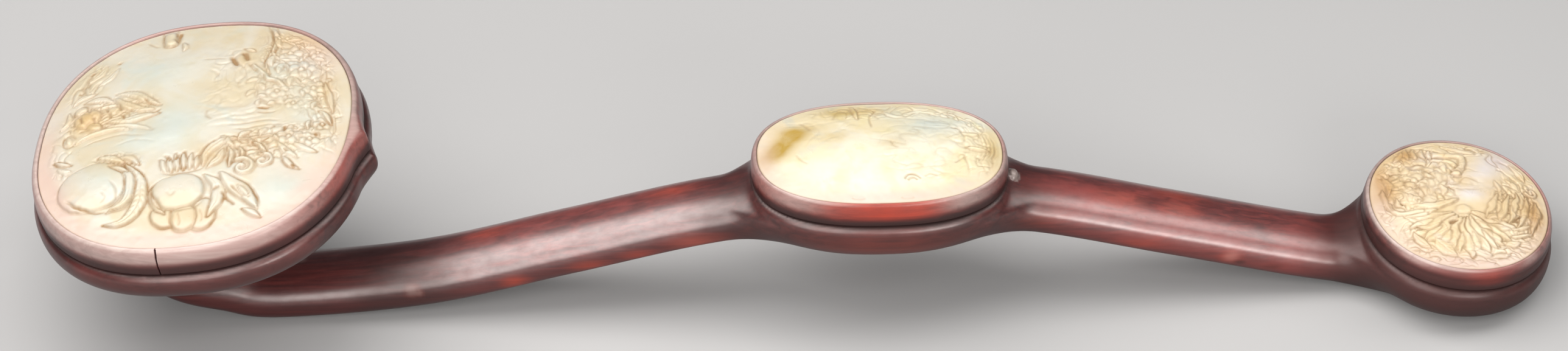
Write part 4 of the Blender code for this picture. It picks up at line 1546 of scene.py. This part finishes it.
@dataclass
class Studio:
    """Pale floor, soft lights and the camera. Its lengths are in metres."""

    centre: tuple = (-0.0055, 0.0, 0.0474)
    elevation: float = 40.0
    swing: float = 2.6                  # degrees towards the head end
    distance: float = 2.0
    lens: float = 139.75
    floor: float = 6.0
    world: tuple = (0.90, 0.94, 1.0, 1.0)
    world_strength: float = 0.06
    warm: Colour = (1.0, 0.965, 0.935)
    cream: Colour = (1.0, 0.955, 0.925)

    def build(self) -> None:
        """Makes the floor, the world, the lights and the camera."""
        bpy.ops.mesh.primitive_plane_add(size=self.floor)
        ground = bpy.context.object
        ground.name = "ground"
        ground.data.materials.append(Paper().build())
        scene = bpy.context.scene
        scene.world = bpy.data.worlds.new("studio")
        scene.world.use_nodes = True
        sky = scene.world.node_tree.nodes["Background"].inputs
        sky["Color"].default_value = self.world
        sky["Strength"].default_value = self.world_strength
        scene.view_settings.view_transform = 'Standard'
        for name, place, target, size, power, colour in (
                ("overhead", (-0.40, 0.08, 0.92), (-0.10, 0.0, 0.03), (0.85, 0.98), 12.4, self.cream),
                ("front_top", (-0.38, -0.66, 0.74), (-0.08, 0.0, 0.03), (0.80, 0.56), 5.6, self.cream),
                ("overhead_right", (0.58, 0.08, 0.92), (0.12, 0.0, 0.03), (0.50, 1.10), 5.6, self.warm),
                ("top_right", (0.52, -0.62, 0.74), (0.12, 0.0, 0.03), (0.50, 0.46), 1.9, self.warm),
                ("front_right", (0.45, -0.88, 0.42), (0.12, 0.0, 0.03), (0.56, 0.26), 4.2, self.warm),
                ("front_left", (-0.46, -0.84, 0.38), (-0.12, 0.0, 0.04), (0.75, 0.36), 3.0, self.cream)):
            light = bpy.data.lights.new(name, 'AREA')
            light.shape = 'RECTANGLE'
            light.size, light.size_y = size
            light.energy = power
            light.color = colour
            self.stand(light, Vector(place), Vector(target) - Vector(place))
        up, round_ = math.radians(self.elevation), math.radians(self.swing)
        back = Vector((-math.sin(round_) * math.cos(up), -math.cos(round_) * math.cos(up), math.sin(up)))
        camera = bpy.data.cameras.new("camera")
        camera.sensor_width = 36.0
        camera.lens = self.lens
        scene.camera = self.stand(camera, Vector(self.centre) + back * self.distance, -back)

    @staticmethod
    def stand(data: bpy.types.ID, place: Vector, ahead: Vector) -> bpy.types.Object:
        """Puts a light or the camera in the scene.

        Args:
            data: the light or the camera.
            place: where it stands.
            ahead: the direction that it faces.

        Returns:
            Its object.
        """
        made = bpy.data.objects.new(data.name, data)
        made.location = place
        made.rotation_euler = ahead.to_track_quat('-Z', 'Y').to_euler()
        bpy.context.scene.collection.objects.link(made)
        return made


def main() -> None:
    """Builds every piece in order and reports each."""
    logging.basicConfig(level=logging.INFO, format="%(name)s: %(message)s")
    Studio().build()
    wood = Hardwood().build()
    # the bezels' wood, whose strong red is the painted red reflection
    ring_wood = Hardwood("bezel_hardwood", polish=0.2, red_tone_and_reflection=(0.40, 0.030, 0.008)).build()
    jade = Jade().build()
    golden_jade = Jade("golden_jade", cream=(0.57, 0.51, 0.35), ivory=(0.60, 0.575, 0.465),
                       honey=(0.34, 0.22, 0.035), straw=(0.56, 0.49, 0.24)).build()
    tan_jade = Jade("tan_jade", cream=(0.60, 0.49, 0.31), ivory=(0.66, 0.58, 0.43),
                    straw=(0.54, 0.40, 0.20), celadon=(0.60, 0.57, 0.55), honey=(0.42, 0.25, 0.09)).build()
    head_bezel = Bezel(
        HEAD, ring_wood, stations=520, crack=(-101.3, 0.3, 0.36, 1.2), shade=(0.28, 0.60),
        highlit=((180, 70, 0.45), (-90, 55, 0.75), (10, 30, 0.15)), red_reflection=((-30, 30, 0.2),),
        wall_highlit=((-128, 34, 0.40), (-62, 20, 0.35), (-92, 24, 0.38), (180, 34, 0.3)))
    middle_bezel = Bezel(
        MIDDLE, ring_wood, shade=(0.26, 0.62), wall_highlit=((-146, 18, 0.40), (-40, 14, 0.45)),
        highlit=((-140, 26, 0.4), (-35, 22, 0.3), (90, 60, 0.2), (-90, 26, -0.35)),
        red_reflection=((-90, 34, 0.80), (-118, 16, 0.25), (-60, 12, 0.25), (-158, 12, 0.2)))
    tail_bezel = Bezel(
        TAIL, ring_wood, shade=(0.50, 0.86), wall_highlit=((-124, 12, 0.5), (-50, 8, 0.4)),
        highlit=((190, 40, 0.45), (-120, 22, 0.45), (-45, 30, -0.2)), red_reflection=((-78, 13, 0.36),))
    head_plaque = Plaque(
        HEAD, jade, carve_head, 300, sink=0.65, front_reflection=0.9,
        celadon=(((-6, 2), (10, 13), 10, 0.75), ((-18, -5), (10, 5), 0, 0.6), ((30, -35), (9, 7), 0, 0.7),
                 ((-12, 30), (11, 9), 0, 0.55), ((37, 4), (5, 14), 10, 0.35), ((-30, -20), (8, 8), 0, 0.5),
                 ((-48, 14), (4, 8), 0, 0.5), ((33, 28), (5, 9), 0, 0.25)),
        honey=(((-35, 12), (7, 7), 0, 0.75), ((-20, 14), (9, 5), 0, 0.3), ((18, -14), (12, 6), 0, 0.35),
               ((-24, -13), (5, 3), 0, 0.4), ((28, 42), (10, 6), -30, 0.3), ((39, 38), (5, 7), 40, 0.45),
               ((5, -17), (4, 5), 0, 0.4), ((-2, -44), (10, 4), 0, 0.3), ((16, 31), (4, 5), 0, 0.3),
               ((44, 14), (3, 16), 6, 0.35)),
        pink_reflection=(((0, -50), (40, 5), 0, 0.4), ((41, 33), (8, 12), 30, 0.6), ((35, -28), (6, 5), 0, 0.3),
               ((-44, -24), (7, 14), 20, 0.4)))
    middle_plaque = Plaque(
        MIDDLE, golden_jade, carve_middle, 220,
        celadon=(((14, 8), (9, 7), 0, 0.6), ((4, 17), (5, 4), 0, 0.5), ((20, 12), (8, 5), 0, 0.4)),
        honey=(((-33.4, 1.2), (4.2, 8.0), -38, 1.3), ((-28, 8.6), (5, 4), -30, 0.9),
               ((37, -2), (3, 9), 0, 0.6), ((4, 0), (5, 3), 0, 0.4), ((-13, 19), (7, 4), 0, 0.5),
               ((-14, 5), (6, 3.5), 0, 0.4), ((-3, 20), (7, 3), 0, 0.5), ((-22, 10), (4, 3), 0, 0.35)),
        pink_reflection=(((0, -23), (24, 2.5), 0, 0.4),))
    tail_plaque = Plaque(
        TAIL, tan_jade, carve_tail, 240, relief=0.6, wander=1.1, plain=2.0,
        celadon=(((11, 17), (5, 9), -25, 0.9), ((3.5, 2), (6, 3.5), 10, 0.9), ((4, -25), (4, 3), 0, 0.4),
                 ((17, 22), (5, 5), 0, 0.6)),
        honey=(((-25, 6), (4, 13), 0, 1.1), ((-15, 23), (5, 5), 0, 0.9), ((25, -5), (4, 12), 0, 0.9),
               ((9, -9), (5, 4), 0, 0.4), ((-14, 3), (8, 6), 0, 0.35), ((13, 4), (5, 6), 0, 0.3),
               ((0, 10), (4, 3), 0, 0.4)),
        pink_reflection=(((16, 21), (4, 4), 0, 0.4), ((0, -30), (20, 3), 0, 0.4)))
    for part in (Shaft(wood), head_bezel, middle_bezel, tail_bezel,
                 head_plaque, middle_plaque, tail_plaque):
        piece = part.build()
        LOG.info("%s: %d faces", piece.name, len(piece.data.polygons))


if __name__ == "__main__":
    main()
